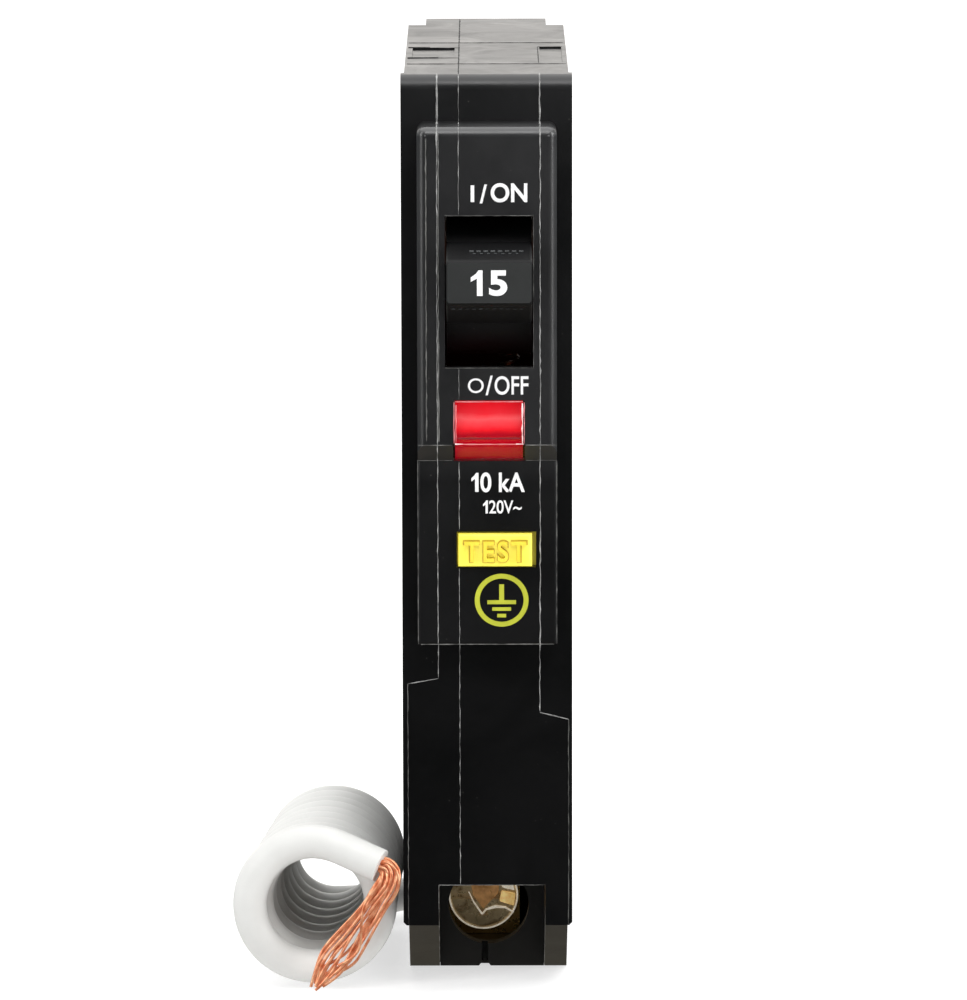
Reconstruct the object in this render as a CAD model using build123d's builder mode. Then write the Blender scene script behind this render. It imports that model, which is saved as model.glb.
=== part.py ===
from build123d import *
import math
import os

# Single-pole plug-on GFCI breaker, standing on its load end with the ON end up. Millimetres, +Z up.
# X runs to the viewer's right, Y runs from the handle face (negative) to the panel side (positive).

os.makedirs("parts", exist_ok=True)

# ---- driving dimensions -------------------------------------------------------------------------
height = 104.6                # line end to load end
module_half = 9.525           # half of the 3/4 in module, at the front rim
body_half = 9.15              # behind the rim
foot_left, foot_right = -8.95, 9.05
shoulder_y = -24.2            # plain front plane
upper_y = -30.2               # raised block, handle section
lower_y = -28.4               # raised block, test button section
back_y = 30.4
jaw_back_y = 37.85
rim_depth = 3.0
wall = 1.8
shell_edge = 1.5              # rounding of the line end's front edge
seam_left, seam_mid, seam_right = -5.5, -3.1, 5.9
plate_left, plate_right = -8.95, 9.12   # front wall of the centre mouldings under the cover plates
cover_left_end, cover_right_end = 36.6, 32.7
rim_end_z = 8.2

block_x0, block_x1 = -7.7, 7.75
block_top_z, block_step_z, ramp_end_z, block_end_z = 99.5, 64.1, 62.1, 41.3
block_round, block_crease = 1.0, 0.3
mark_depth = 0.2              # shallow marks in the line end
block_wall = 1.6

handle_x0, handle_x1 = -4.45, 5.0
opening_x0, opening_x1 = -4.63, 5.17
opening_z0, opening_z1 = 72.75, 89.72
pivot_y, pivot_z = -22.0, 81.2
barrel_r = 8.0
trunnion_r = 2.0
run_gap = 0.05                # radial running clearance
handle_tilt = 7.5             # tripped position, above the middle of the swing
handle_root_r, handle_root_half = 7.4, 4.5
handle_tip_r, handle_tip_half = 15.95, 2.45

web_left0, web_left1 = -5.9, -4.7       # partition carried by the left case moulding
web_right0, web_right1 = 5.2, 6.4       # floor of the right case moulding
cavity_half = 8.1

lens_x0, lens_x1, lens_top_z = -3.7, 4.15, 69.05
lens_t = 1.3
button_x0, button_x1, button_z0, button_z1 = -3.23, 5.0, 50.17, 53.9
button_face_y = -28.95

recess_x0, recess_x1, recess_z = -5.53, 6.5, 12.85
floor_y = -9.2
slope_z = 10.2
screw_x, screw_z = -0.5, 7.2
hole_r, head_r = 4.6, 4.0
foot_back_y, step_z = 14.0, 14.0
wire_port_r = 2.3

wire_d = 3.8                  # insulated pigtail
coil_back = (-17.8, 12.8, 8.8)
coil_front = (-19.6, -22.0, 9.9)
coil_back_r, coil_front_r = 6.3, 7.6
lead_exit = (-3.5, 24.5, 14.0)


def yz(x):
    return Plane.YZ.offset(x)


def xz(y):
    return Plane.XZ.offset(-y)


def block(x0, x1, y0, y1, z0, z1, mode=Mode.ADD):
    with BuildSketch(Plane.XY.offset(z0)) as face:
        with Locations(((x0 + x1) / 2, (y0 + y1) / 2)):
            Rectangle(x1 - x0, y1 - y0)
    extrude(face.sketch, amount=z1 - z0, mode=mode)


def outline(plane, points, amount, mode=Mode.ADD):
    """Extrudes a closed polygon, given in the plane's own axes."""
    with BuildSketch(plane) as face:
        with BuildLine():
            Polyline(*points, close=True)
        make_face()
    extrude(face.sketch, amount=amount, mode=mode)


def side_shape(points, x0, x1, mode=Mode.ADD):
    outline(yz(x0), points, x1 - x0, mode)


def disc(plane, at, r, amount, mode=Mode.ADD):
    with BuildSketch(plane) as face:
        with Locations(at):
            Circle(r)
    extrude(face.sketch, amount=amount, mode=mode)


def disc_x(y, z, r, x0, x1, mode=Mode.ADD):
    disc(yz(x0), (y, z), r, x1 - x0, mode)


def disc_y(x, z, r, y0, y1, mode=Mode.ADD):
    disc(xz(y1), (x, z), r, y1 - y0, mode)


def disc_z(x, y, r, z0, z1, mode=Mode.ADD):
    disc(Plane.XY.offset(z0), (x, y), r, z1 - z0, mode)


def coil_spring(start, direction, length, radius, wire_r, turns):
    """Adds a helical spring running from start along a direction."""
    with BuildLine() as path:
        Helix(pitch=length / turns, height=length, radius=radius, center=start, direction=direction)
    begin = path.line @ 0
    with BuildSketch(Plane(origin=begin, z_dir=path.line % 0)) as wire:
        Circle(wire_r)
    sweep(wire.sketch, path=path.line, is_frenet=True)


# ---- case mouldings -----------------------------------------------------------------------------
body_profile = [
    (shoulder_y, height), (back_y, height), (back_y, 30.0), (36.5, 30.0), (36.5, step_z),
    (foot_back_y, step_z), (foot_back_y, 0), (floor_y, 0), (shoulder_y, slope_z),
]
cavity_profile = [
    (shoulder_y + wall, height - wall), (back_y - wall, height - wall),
    (back_y - wall, step_z + wall), (foot_back_y - wall, step_z + wall),
    (foot_back_y - wall, 2.0), (floor_y + wall, 2.0), (floor_y + wall, recess_z + wall),
    (shoulder_y + wall, recess_z + wall),
]
block_profile = [
    (shoulder_y, block_top_z), (upper_y, block_top_z), (upper_y, block_step_z),
    (lower_y, ramp_end_z), (lower_y, block_end_z), (shoulder_y, block_end_z),
]
block_cavity = [
    (shoulder_y + wall + 0.1, block_top_z - block_wall), (upper_y + block_wall, block_top_z - block_wall),
    (upper_y + block_wall, block_step_z + 0.6), (lower_y + block_wall, ramp_end_z + 0.6),
    (lower_y + block_wall, block_end_z + block_wall), (shoulder_y + wall + 0.1, block_end_z + block_wall),
]
jaw_half = 7.1


def case_outside():
    """Whole outside of the four closed mouldings."""
    side_shape(body_profile, -body_half, body_half)
    rim = [(shoulder_y, height), (shoulder_y + rim_depth, height),
           (shoulder_y + rim_depth, rim_end_z), (shoulder_y, rim_end_z)]
    side_shape(rim, -module_half, module_half)
    front_edge = [e for e in edges().filter_by(Axis.X)
                  if abs(e.center().Y - shoulder_y) < 0.01 and abs(e.center().Z - height) < 0.01]
    fillet(front_edge, radius=shell_edge)
    block(-jaw_half, jaw_half, back_y - 1.0, jaw_back_y, 76.0, height)
    side_shape(block_profile, block_x0, block_x1)
    round_edges = [e for e in edges()
                   if (abs(e.center().Y - upper_y) < 0.01 and e.center().Z > block_step_z + 1)]
    fillet(round_edges, radius=block_round)
    corner_edges = [e for e in edges().filter_by(Axis.Y)
                    if abs(e.center().Z - block_top_z) < 0.05 and e.length > 3.0]
    fillet(corner_edges, radius=block_round * 0.9)
    crease_edges = [e for e in edges()
                    if abs(e.center().Y - lower_y) < 0.01 and e.center().Z < ramp_end_z - 1]
    fillet(crease_edges, radius=block_crease)
    # narrower foot below the cover plates, and the lead-in chamfer where the plates end
    block(-body_half - 0.5, foot_left, shoulder_y - 1, foot_back_y + 1, -1, rim_end_z, Mode.SUBTRACT)
    block(foot_right, body_half + 0.5, shoulder_y - 1, foot_back_y + 1, -1, rim_end_z, Mode.SUBTRACT)


def case_inside():
    """Hollows, openings and the load-end recess."""
    side_shape(cavity_profile, -cavity_half, cavity_half, Mode.SUBTRACT)
    side_shape(block_cavity, -6.1, 6.15, Mode.SUBTRACT)
    # jaw chamber and its mouth towards the bus
    block(-5.4, 5.4, back_y - wall - 0.1, jaw_back_y - 1.5, 80.0, height - wall, Mode.SUBTRACT)
    block(-2.6, 2.8, jaw_back_y - 2.0, jaw_back_y + 1, 83.0, 101.5, Mode.SUBTRACT)
    # handle opening
    block(opening_x0, opening_x1, upper_y - 1, shoulder_y, opening_z0, opening_z1, Mode.SUBTRACT)
    # trip window opening, upper face and ramp
    lens_hole = [(upper_y - 1, lens_top_z + 0.05), (shoulder_y, lens_top_z + 0.05),
                 (shoulder_y, ramp_end_z - 0.05), (lower_y - 1, ramp_end_z - 0.05), (upper_y - 1, 63.0)]
    side_shape(lens_hole, lens_x0 - 0.05, lens_x1 + 0.05, Mode.SUBTRACT)
    # test button opening
    block(button_x0 - 0.15, button_x1 + 0.45, lower_y - 1, shoulder_y, button_z0 - 0.15, button_z1 + 0.15,
          Mode.SUBTRACT)
    # load terminal recess, which the terminal wall closes towards the terminal
    block(recess_x0, recess_x1, shoulder_y - 1, floor_y + wall, -1, recess_z, Mode.SUBTRACT)
    # wire port in the load end
    disc_z(screw_x, 7.0, wire_port_r, -1, 2.5, Mode.SUBTRACT)
    # rail hook notch, open towards the load end
    block(-body_half - 1, body_half + 1, 31.4, 33.9, step_z - 1, 22.0, Mode.SUBTRACT)
    # pigtail exit in the underside of the rear step
    disc_z(lead_exit[0], lead_exit[1], wire_d / 2 + 0.02, step_z - 1, step_z + wall + 1, Mode.SUBTRACT)
    # shallow marks moulded into the line end
    block(-8.4, -3.6, -6.1, 4.6, height - mark_depth, height + 1, Mode.SUBTRACT)
    block(6.1, 8.6, -11.0, 5.6, height - mark_depth, height + 1, Mode.SUBTRACT)
    # rivet holes
    for ry, rz in rivet_points:
        disc_x(ry, rz, 1.6, -module_half - 1, module_half + 1, Mode.SUBTRACT)


rivet_points = [(15.0, 97.0), (-16.5, 40.5), (17.0, 19.0), (-16.0, 96.5)]


def rivet_bosses(x0, x1):
    for ry, rz in rivet_points:
        disc_x(ry, rz, 2.9, x0, x1)
        disc_x(ry, rz, 1.6, x0 - 0.01, x1 + 0.01, Mode.SUBTRACT)


big = 200.0
lap_gap = 0.1
bearing_cheek = [(-28.5, 76.0), (-22.0, 76.0), (-22.0, 86.4), (-28.5, 86.4)]
floor_web = [(-22.3, 102.7), (28.5, 102.7), (28.5, 15.9), (12.1, 15.9), (12.1, 8.3), (-7.3, 8.3),
             (-7.3, 14.7), (-22.3, 14.7)]


def left_web(gap):
    """Partition of the left case beside the switching mechanism."""
    front, rear, top = -22.4 + gap, 28.6 - gap, height - wall - gap
    return [(front, top), (rear, top), (rear, 58.0), (front, 58.0)]

with BuildPart() as left_cover:
    case_outside()
    case_inside()
    block(seam_left, big, -big, big, -big, big, Mode.SUBTRACT)
    # under the slanted joint the front wall belongs to the left case; only the side plate stays
    outline(xz(shoulder_y + wall), [(plate_left, cover_left_end - 0.6), (seam_left, cover_left_end),
                                    (seam_left, -1), (plate_left, -1)], 10, Mode.SUBTRACT)
    block(-big, big, -big, big, -big, rim_end_z, Mode.SUBTRACT)
    chamfer_edge = [e for e in edges().filter_by(Axis.Y)
                    if abs(e.center().X + module_half) < 0.01 and abs(e.center().Z - rim_end_z) < 0.01]
    chamfer(chamfer_edge, length=0.35)
    rivet_bosses(-cavity_half, web_left0)
left_cover.part.label = "left_cover"
export_step(left_cover.part, "parts/left_cover.step")

with BuildPart() as right_cover:
    case_outside()
    case_inside()
    block(-big, seam_right, -big, big, -big, big, Mode.SUBTRACT)
    outline(xz(shoulder_y + wall), [(seam_right, cover_right_end), (plate_right, cover_right_end - 0.8),
                                    (plate_right, -1), (seam_right, -1)], 10, Mode.SUBTRACT)
    block(-big, big, -big, big, -big, rim_end_z, Mode.SUBTRACT)
    chamfer_edge = [e for e in edges().filter_by(Axis.Y)
                    if abs(e.center().X - module_half) < 0.01 and abs(e.center().Z - rim_end_z) < 0.01]
    chamfer(chamfer_edge, length=0.35)
    rivet_bosses(web_right1, cavity_half)
right_cover.part.label = "right_cover"
export_step(right_cover.part, "parts/right_cover.step")

with BuildPart() as left_case:
    case_outside()
    case_inside()
    block(seam_mid, big, -big, big, -big, big, Mode.SUBTRACT)
    # behind the front wall and above the foot the side belongs to the left cover
    block(-big, seam_left, shoulder_y + wall, big, rim_end_z, big, Mode.SUBTRACT)
    block(-big, plate_left, -big, big, rim_end_z, big, Mode.SUBTRACT)
    outline(xz(shoulder_y + wall), [(-big, cover_left_end - 0.6), (plate_left, cover_left_end - 0.6),
                                    (seam_left, cover_left_end), (seam_left, big), (-big, big)],
            20, Mode.SUBTRACT)
    # partition beside the mechanism, with the handle's bearing and clearance for its barrel
    side_shape(left_web(0), seam_left, web_left1)
    side_shape(left_web(lap_gap), web_left0, seam_left)
    side_shape(bearing_cheek, web_left0, web_left1)
    rear_tongue = [(13.0, step_z + wall), (21.0, step_z + wall), (21.0, 22.5), (13.0, 22.5)]
    front_tongue = [(shoulder_y + wall, 36.5), (-12.5, 36.5), (-12.5, 44.5), (shoulder_y + wall, 44.5)]
    side_shape(rear_tongue, seam_left, web_left1)
    side_shape(front_tongue, seam_left, web_left1)
    disc_x(pivot_y, pivot_z, trunnion_r + run_gap, web_left0 - 0.1, web_left1 + 0.1, Mode.SUBTRACT)
    for ry, rz in rivet_points:
        disc_x(ry, rz, 1.6, web_left0 - 0.1, web_left1 + 0.1, Mode.SUBTRACT)
    rivet_bosses(seam_left, seam_mid)
left_case.part.label = "left_case"
export_step(left_case.part, "parts/left_case.step")

with BuildPart() as right_case:
    case_outside()
    case_inside()
    block(-big, seam_mid, -big, big, -big, big, Mode.SUBTRACT)
    block(seam_right, big, shoulder_y + wall, big, rim_end_z, big, Mode.SUBTRACT)
    block(plate_right, big, -big, big, rim_end_z, big, Mode.SUBTRACT)
    outline(xz(shoulder_y + wall), [(big, cover_right_end - 0.8), (plate_right, cover_right_end - 0.8),
                                    (seam_right, cover_right_end), (seam_right, big), (big, big)],
            20, Mode.SUBTRACT)
    side_shape(cavity_profile, web_right0, seam_right)
    side_shape(floor_web, seam_right, web_right1)
    side_shape(bearing_cheek, web_right0, 6.1)
    disc_x(pivot_y, pivot_z, trunnion_r + run_gap, web_right0 - 0.1, web_right1 + 0.1, Mode.SUBTRACT)
    for ry, rz in rivet_points:
        disc_x(ry, rz, 1.6, web_right0 - 0.1, web_right1 + 0.1, Mode.SUBTRACT)
    rivet_bosses(seam_mid, web_right0 + 0.1)
right_case.part.label = "right_case"
export_step(right_case.part, "parts/right_case.step")

# wall between the recess and the terminal, with the screw's access hole, a wrench slit and a notch
fit_gap = 0.05
with BuildPart() as terminal_wall:
    block(recess_x0 + fit_gap, recess_x1 - fit_gap, floor_y, floor_y + wall - fit_gap, 0, recess_z - fit_gap)
    disc_y(screw_x + 0.6, screw_z, hole_r, floor_y - 1, floor_y + wall + 0.5, Mode.SUBTRACT)
    block(-0.7, 0.0, floor_y - 1, floor_y + 1.2, 0.6, screw_z, Mode.SUBTRACT)
    outline(xz(floor_y + 1.2), [(-1.1, -0.1), (0.4, -0.1), (-0.35, 0.9)], 2.5, Mode.SUBTRACT)
terminal_wall.part.label = "terminal_wall"
export_step(terminal_wall.part, "parts/terminal_wall.step")

with BuildPart() as case_rivets:
    for ry, rz in rivet_points:
        disc_x(ry, rz, 1.55, -body_half + 0.1, body_half - 0.1)
case_rivets.part.label = "case_rivets"
export_step(case_rivets.part, "parts/case_rivets.step")

# ---- handle and trip window ---------------------------------------------------------------------
tilt = math.radians(handle_tilt)


def handle_point(r, half):
    """Point at distance r along the handle's tilted axis and half above it, as (y, z)."""
    return (pivot_y - r * math.cos(tilt) + half * math.sin(tilt),
            pivot_z + r * math.sin(tilt) + half * math.cos(tilt))


with BuildPart() as handle:
    neck = [handle_point(handle_root_r - 3.0, handle_root_half), handle_point(handle_root_r, handle_root_half),
            handle_point(handle_tip_r, handle_tip_half), handle_point(handle_tip_r, -handle_tip_half),
            handle_point(handle_root_r, -handle_root_half), handle_point(handle_root_r - 3.0, -handle_root_half)]
    side_shape(neck, handle_x0, handle_x1)
    tip_y = handle_point(handle_tip_r - 1.0, 0)[0]
    fillet([e for e in edges().filter_by(Axis.X) if e.center().Y < tip_y], radius=0.75)
    fillet([e for e in edges() if e.center().Y < tip_y and abs(e.center().X - 0.275) > 4], radius=0.3)
    disc_x(pivot_y, pivot_z, barrel_r, handle_x0, handle_x1)
    disc_x(pivot_y, pivot_z, trunnion_r, web_left0 + 0.3, handle_x0)
    disc_x(pivot_y, pivot_z, trunnion_r, handle_x1, web_right1 - 0.5)
handle.part.label = "handle"
export_step(handle.part, "parts/handle.step")

with BuildPart() as trip_window:
    lens = [(upper_y, lens_top_z), (upper_y, block_step_z), (lower_y, ramp_end_z),
            (lower_y + lens_t, ramp_end_z), (lower_y + lens_t, ramp_end_z + 0.6),
            (upper_y + lens_t, block_step_z + 0.8), (upper_y + lens_t, lens_top_z)]
    side_shape(lens, lens_x0, lens_x1)
trip_window.part.label = "trip_window"
export_step(trip_window.part, "parts/trip_window.step")

flag_pivot = (-20.0, 60.0)
lever_pivot = (-4.0, 62.0)
arm_pivot = (-9.5, 80.0)
pin_r = 1.0
chamber_x0, chamber_x1 = web_left1, web_right0

with BuildPart() as trip_flag:
    plate = [(-28.45, 68.9), (-27.6, 68.9), (-27.6, 65.4), (-25.9, 63.1), (-25.9, 61.9), (-26.7, 61.9),
             (-26.7, 63.3), (-28.45, 65.6)]
    side_shape(plate, -3.55, 4.0)
    arm = [(-26.7, 61.9), (-25.9, 64.2), (-20.0, 61.9), (-20.0, 58.1), (-22.0, 58.6)]
    side_shape(arm, -3.0, -1.8)
    disc_x(*flag_pivot, 1.9, -3.0, -0.6)
    disc_x(*flag_pivot, pin_r + run_gap, -3.1, -0.5, Mode.SUBTRACT)
trip_flag.part.label = "trip_flag"
export_step(trip_flag.part, "parts/trip_flag.step")

for pin_name, at, r in [("flag_pin", flag_pivot, pin_r), ("lever_pin", lever_pivot, pin_r),
                        ("arm_pin", arm_pivot, pin_r)]:
    with BuildPart() as pin:
        disc_x(*at, r, chamber_x0, chamber_x1)
    pin.part.label = pin_name
    export_step(pin.part, f"parts/{pin_name}.step")

# ---- switching mechanism ------------------------------------------------------------------------
with BuildPart() as trip_lever:
    bar = [(-5.5, 60.2), (-5.5, 63.8), (2.0, 64.6), (20.2, 63.0), (20.2, 61.8), (2.0, 60.6)]
    side_shape(bar, -3.9, -2.4)
    disc_x(*lever_pivot, 2.3, -3.9, -1.0)
    disc_x(4.0, 63.0, 0.6, -2.4, 4.0)
    disc_x(*lever_pivot, pin_r + run_gap, -4.0, -0.9, Mode.SUBTRACT)
trip_lever.part.label = "trip_lever"
export_step(trip_lever.part, "parts/trip_lever.step")

with BuildPart() as contact_arm:
    bar = [(-9.5, 82.4), (6.0, 82.0), (20.4, 82.0), (20.4, 80.4), (6.0, 78.2), (-9.5, 77.6)]
    side_shape(bar, -0.8, 0.8)
    disc_x(*arm_pivot, 2.6, -1.3, 1.3)
    disc_x(4.0, 78.9, 0.6, 0.8, 4.0)
    disc_x(*arm_pivot, pin_r + run_gap, -1.5, 1.5, Mode.SUBTRACT)
contact_arm.part.label = "contact_arm"
export_step(contact_arm.part, "parts/contact_arm.step")

with BuildPart() as moving_contact:
    disc_z(0, 18.5, 1.8, 82.0, 83.0)
moving_contact.part.label = "moving_contact"
export_step(moving_contact.part, "parts/moving_contact.step")

with BuildPart() as toggle_spring:
    coil_spring((2.6, 4.0, 64.0), (0, 0, 1), 14.0, 1.15, 0.3, 9)
toggle_spring.part.label = "toggle_spring"
export_step(toggle_spring.part, "parts/toggle_spring.step")

with BuildPart() as line_jaw:
    finger = [(-2.1, 23.8), (-1.2, 23.8), (-1.2, 27.3), (-0.7, 31.0), (-1.5, 33.0), (-2.3, 33.0),
              (-1.6, 31.0), (-2.1, 27.3)]
    for side in (1, -1):
        outline(Plane.XY.offset(85.0), [(0.1 + side * (x - 0.1), y) for x, y in finger], 15.0)
    block(-2.1, 2.3, 23.8, 24.8, 85.0, 100.0)
    block(-1.9, 2.1, 14.5, 23.8, 87.0, 88.0)
line_jaw.part.label = "line_jaw"
export_step(line_jaw.part, "parts/line_jaw.step")

with BuildPart() as jaw_spring:
    block(-2.85, 3.05, 22.8, 23.4, 89.5, 95.5)
    block(-2.85, -2.35, 23.4, 29.8, 89.5, 95.5)
    block(2.55, 3.05, 23.4, 29.8, 89.5, 95.5)
jaw_spring.part.label = "jaw_spring"
export_step(jaw_spring.part, "parts/jaw_spring.step")

with BuildPart() as fixed_contact:
    disc_z(0.1, 18.5, 1.8, 86.0, 87.0)
fixed_contact.part.label = "fixed_contact"
export_step(fixed_contact.part, "parts/fixed_contact.step")

with BuildPart() as arc_plates:
    for level in range(4):
        z = 70.5 + 3.0 * level
        block(-4.2, 4.7, 22.6, 28.0, z, z + 0.9)
        outline(Plane.XY.offset(z), [(-2.2, 22.5), (2.7, 22.5), (0.25, 26.0)], 0.9, Mode.SUBTRACT)
arc_plates.part.label = "arc_plates"
export_step(arc_plates.part, "parts/arc_plates.step")

with BuildPart() as arc_liner:
    block(-4.65, 5.15, 22.2, 28.5, 69.5, 82.0)
    block(-4.2, 4.7, 22.0, 28.0, 69.0, 82.5, Mode.SUBTRACT)
arc_liner.part.label = "arc_liner"
export_step(arc_liner.part, "parts/arc_liner.step")

# ---- thermal-magnetic trip ----------------------------------------------------------------------
with BuildPart() as bimetal:
    block(-1.6, 2.0, 24.6, 25.4, 23.0, 60.0)
bimetal.part.label = "bimetal"
export_step(bimetal.part, "parts/bimetal.step")

with BuildPart() as bimetal_bracket:
    block(-3.2, 3.6, 25.4, 27.6, 18.0, 30.0)
    block(-3.2, 3.6, 27.6, 28.6, 18.0, 60.0)
bimetal_bracket.part.label = "bimetal_bracket"
export_step(bimetal_bracket.part, "parts/bimetal_bracket.step")

with BuildPart() as calibration_screw:
    disc_y(0.2, 55.0, 1.2, 25.5, 27.6)
calibration_screw.part.label = "calibration_screw"
export_step(calibration_screw.part, "parts/calibration_screw.step")

with BuildPart() as magnet_yoke:
    block(-3.2, 3.6, 26.6, 27.6, 42.0, 52.0)
    block(-3.2, -2.2, 22.4, 26.6, 42.0, 52.0)
    block(2.6, 3.6, 22.4, 26.6, 42.0, 52.0)
magnet_yoke.part.label = "magnet_yoke"
export_step(magnet_yoke.part, "parts/magnet_yoke.step")

armature_pivot = (21.1, 40.6)
with BuildPart() as armature:
    block(-3.2, 3.6, 20.6, 21.6, 41.5, 63.4)
    block(-4.2, -2.2, 20.55, 21.7, 60.4, 65.0, Mode.SUBTRACT)
    disc_x(*armature_pivot, 1.4, -3.2, 3.6)
    disc_x(*armature_pivot, 0.75, -3.3, 3.7, Mode.SUBTRACT)
armature.part.label = "armature"
export_step(armature.part, "parts/armature.step")

with BuildPart() as armature_pin:
    disc_x(*armature_pivot, 0.7, -4.3, chamber_x1)
armature_pin.part.label = "armature_pin"
export_step(armature_pin.part, "parts/armature_pin.step")

with BuildPart() as armature_spring:
    coil_spring((0.2, 21.9, 57.5), (0, 1, 0), 2.4, 0.9, 0.22, 4)
armature_spring.part.label = "armature_spring"
export_step(armature_spring.part, "parts/armature_spring.step")

# ---- ground-fault electronics -------------------------------------------------------------------
board_x0, board_x1 = -8.05, -7.05
with BuildPart() as circuit_board:
    block(board_x0, board_x1, -20.0, 18.0, 23.0, 57.5)
    disc_x(*rivet_points[1], 3.2, board_x0 - 0.1, board_x1 + 0.1, Mode.SUBTRACT)
circuit_board.part.label = "circuit_board"
export_step(circuit_board.part, "parts/circuit_board.step")

with BuildPart() as control_chip:
    block(board_x1, -5.5, -5.0, 5.0, 53.4, 57.2)
control_chip.part.label = "control_chip"
export_step(control_chip.part, "parts/control_chip.step")

with BuildPart() as varistor:
    disc_x(-11.5, 51.5, 4.3, board_x1, -4.6)
varistor.part.label = "varistor"
export_step(varistor.part, "parts/varistor.step")

with BuildPart() as filter_capacitor:
    disc_x(-13.5, 27.5, 3.2, board_x1, -1.2)
filter_capacitor.part.label = "filter_capacitor"
export_step(filter_capacitor.part, "parts/filter_capacitor.step")

with BuildPart() as thyristor:
    disc_x(-6.5, 27.0, 2.3, board_x1, -3.0)
    block(board_x1 - 0.5, 0, -9.0, -8.2, 24.0, 30.0, Mode.SUBTRACT)
thyristor.part.label = "thyristor"
export_step(thyristor.part, "parts/thyristor.step")

with BuildPart() as resistors:
    for row in range(3):
        disc_z(board_x1 + 0.9, 11.6 + 2.4 * row, 0.9, 27.0, 34.0)
resistors.part.label = "resistors"
export_step(resistors.part, "parts/resistors.step")

toroid_x, toroid_y = -1.0, 4.0
for core_name, coil_name, z in [("sensing_core", "sensing_winding", 29.8), ("ground_core", "ground_winding", 36.4)]:
    with BuildPart() as core:
        disc_z(toroid_x, toroid_y, 5.5, z + 0.5, z + 4.0)
        disc_z(toroid_x, toroid_y, 3.1, z, z + 5.0, Mode.SUBTRACT)
    core.part.label = core_name
    export_step(core.part, f"parts/{core_name}.step")
    with BuildPart() as winding:
        disc_z(toroid_x, toroid_y, 6.0, z, z + 4.5)
        fillet(edges(), radius=0.4)
        disc_z(toroid_x, toroid_y, 5.5, z + 0.5, z + 4.0, Mode.SUBTRACT)
        disc_z(toroid_x, toroid_y, 3.1, z + 0.4, z + 4.1)
        disc_z(toroid_x, toroid_y, 2.6, z - 1, z + 6.0, Mode.SUBTRACT)
    winding.part.label = coil_name
    export_step(winding.part, f"parts/{coil_name}.step")

solenoid_x, solenoid_z = 0.2, 48.0
with BuildPart() as solenoid_frame:
    block(-4.0, 4.4, -3.0, 10.0, 43.4, 52.6)
    block(-5.0, 5.5, -2.0, 9.0, 44.2, 51.8, Mode.SUBTRACT)
    disc_y(solenoid_x, solenoid_z, 1.7, -4.0, 11.0, Mode.SUBTRACT)
solenoid_frame.part.label = "solenoid_frame"
export_step(solenoid_frame.part, "parts/solenoid_frame.step")

with BuildPart() as solenoid_bobbin:
    disc_y(solenoid_x, solenoid_z, 2.2, -2.0, 9.0)
    disc_y(solenoid_x, solenoid_z, 3.7, -2.0, -1.2)
    disc_y(solenoid_x, solenoid_z, 3.7, 8.2, 9.0)
    disc_y(solenoid_x, solenoid_z, 1.6, -3.0, 10.0, Mode.SUBTRACT)
solenoid_bobbin.part.label = "solenoid_bobbin"
export_step(solenoid_bobbin.part, "parts/solenoid_bobbin.step")

with BuildPart() as solenoid_coil:
    disc_y(solenoid_x, solenoid_z, 3.5, -1.2, 8.2)
    disc_y(solenoid_x, solenoid_z, 2.2, -2.0, 9.0, Mode.SUBTRACT)
solenoid_coil.part.label = "solenoid_coil"
export_step(solenoid_coil.part, "parts/solenoid_coil.step")

with BuildPart() as plunger:
    disc_y(solenoid_x, solenoid_z, 1.5, -6.0, 8.0)
    disc_y(solenoid_x, solenoid_z, 2.4, -7.0, -6.0)
    disc_y(solenoid_x, solenoid_z, 0.7, 8.0, 17.4)
plunger.part.label = "plunger"
export_step(plunger.part, "parts/plunger.step")

with BuildPart() as plunger_spring:
    coil_spring((solenoid_x, -5.7, solenoid_z), (0, 1, 0), 2.45, 1.95, 0.22, 3)
plunger_spring.part.label = "plunger_spring"
export_step(plunger_spring.part, "parts/plunger_spring.step")

# ---- test button --------------------------------------------------------------------------------
with BuildPart() as test_button:
    block(button_x0, button_x1, button_face_y, -25.4, button_z0, button_z1)
    fillet(edges().sort_by(Axis.Y)[:4], radius=0.35)
    block(-4.6, 5.95, -26.4, -25.4, 48.9, 55.2)
    disc_y(0.9, 52.0, 1.2, -25.4, -19.0)
test_button.part.label = "test_button"
export_step(test_button.part, "parts/test_button.step")

with BuildPart() as test_spring:
    coil_spring((0.9, -25.1, 52.0), (0, 1, 0), 4.6, 1.8, 0.25, 4)
test_spring.part.label = "test_spring"
export_step(test_spring.part, "parts/test_spring.step")

with BuildPart() as test_seat:
    block(board_x1, chamber_x1, -20.2, -19.6, 46.0, 55.5)
    disc_y(0.9, 52.0, 1.35, -21, -19, Mode.SUBTRACT)
test_seat.part.label = "test_seat"
export_step(test_seat.part, "parts/test_seat.step")

with BuildPart() as test_contact:
    block(board_x1, 3.0, -17.4, -17.0, 49.5, 55.5)
test_contact.part.label = "test_contact"
export_step(test_contact.part, "parts/test_contact.step")

# ---- load terminal ------------------------------------------------------------------------------
lug_x0, lug_x1, lug_y0, lug_y1, lug_z0, lug_z1 = -4.7, 3.7, -1.4, 11.2, 2.05, 12.6
with BuildPart() as load_terminal:
    block(lug_x0, lug_x1, lug_y0, lug_y1, lug_z0, lug_z1)
    block(lug_x0 + 1.6, lug_x1 - 1.6, 3.6, 9.6, 0, 20, Mode.SUBTRACT)
    disc_y(screw_x, screw_z, 2.4, -2.0, 4.0, Mode.SUBTRACT)
load_terminal.part.label = "load_terminal"
export_step(load_terminal.part, "parts/load_terminal.step")

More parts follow.
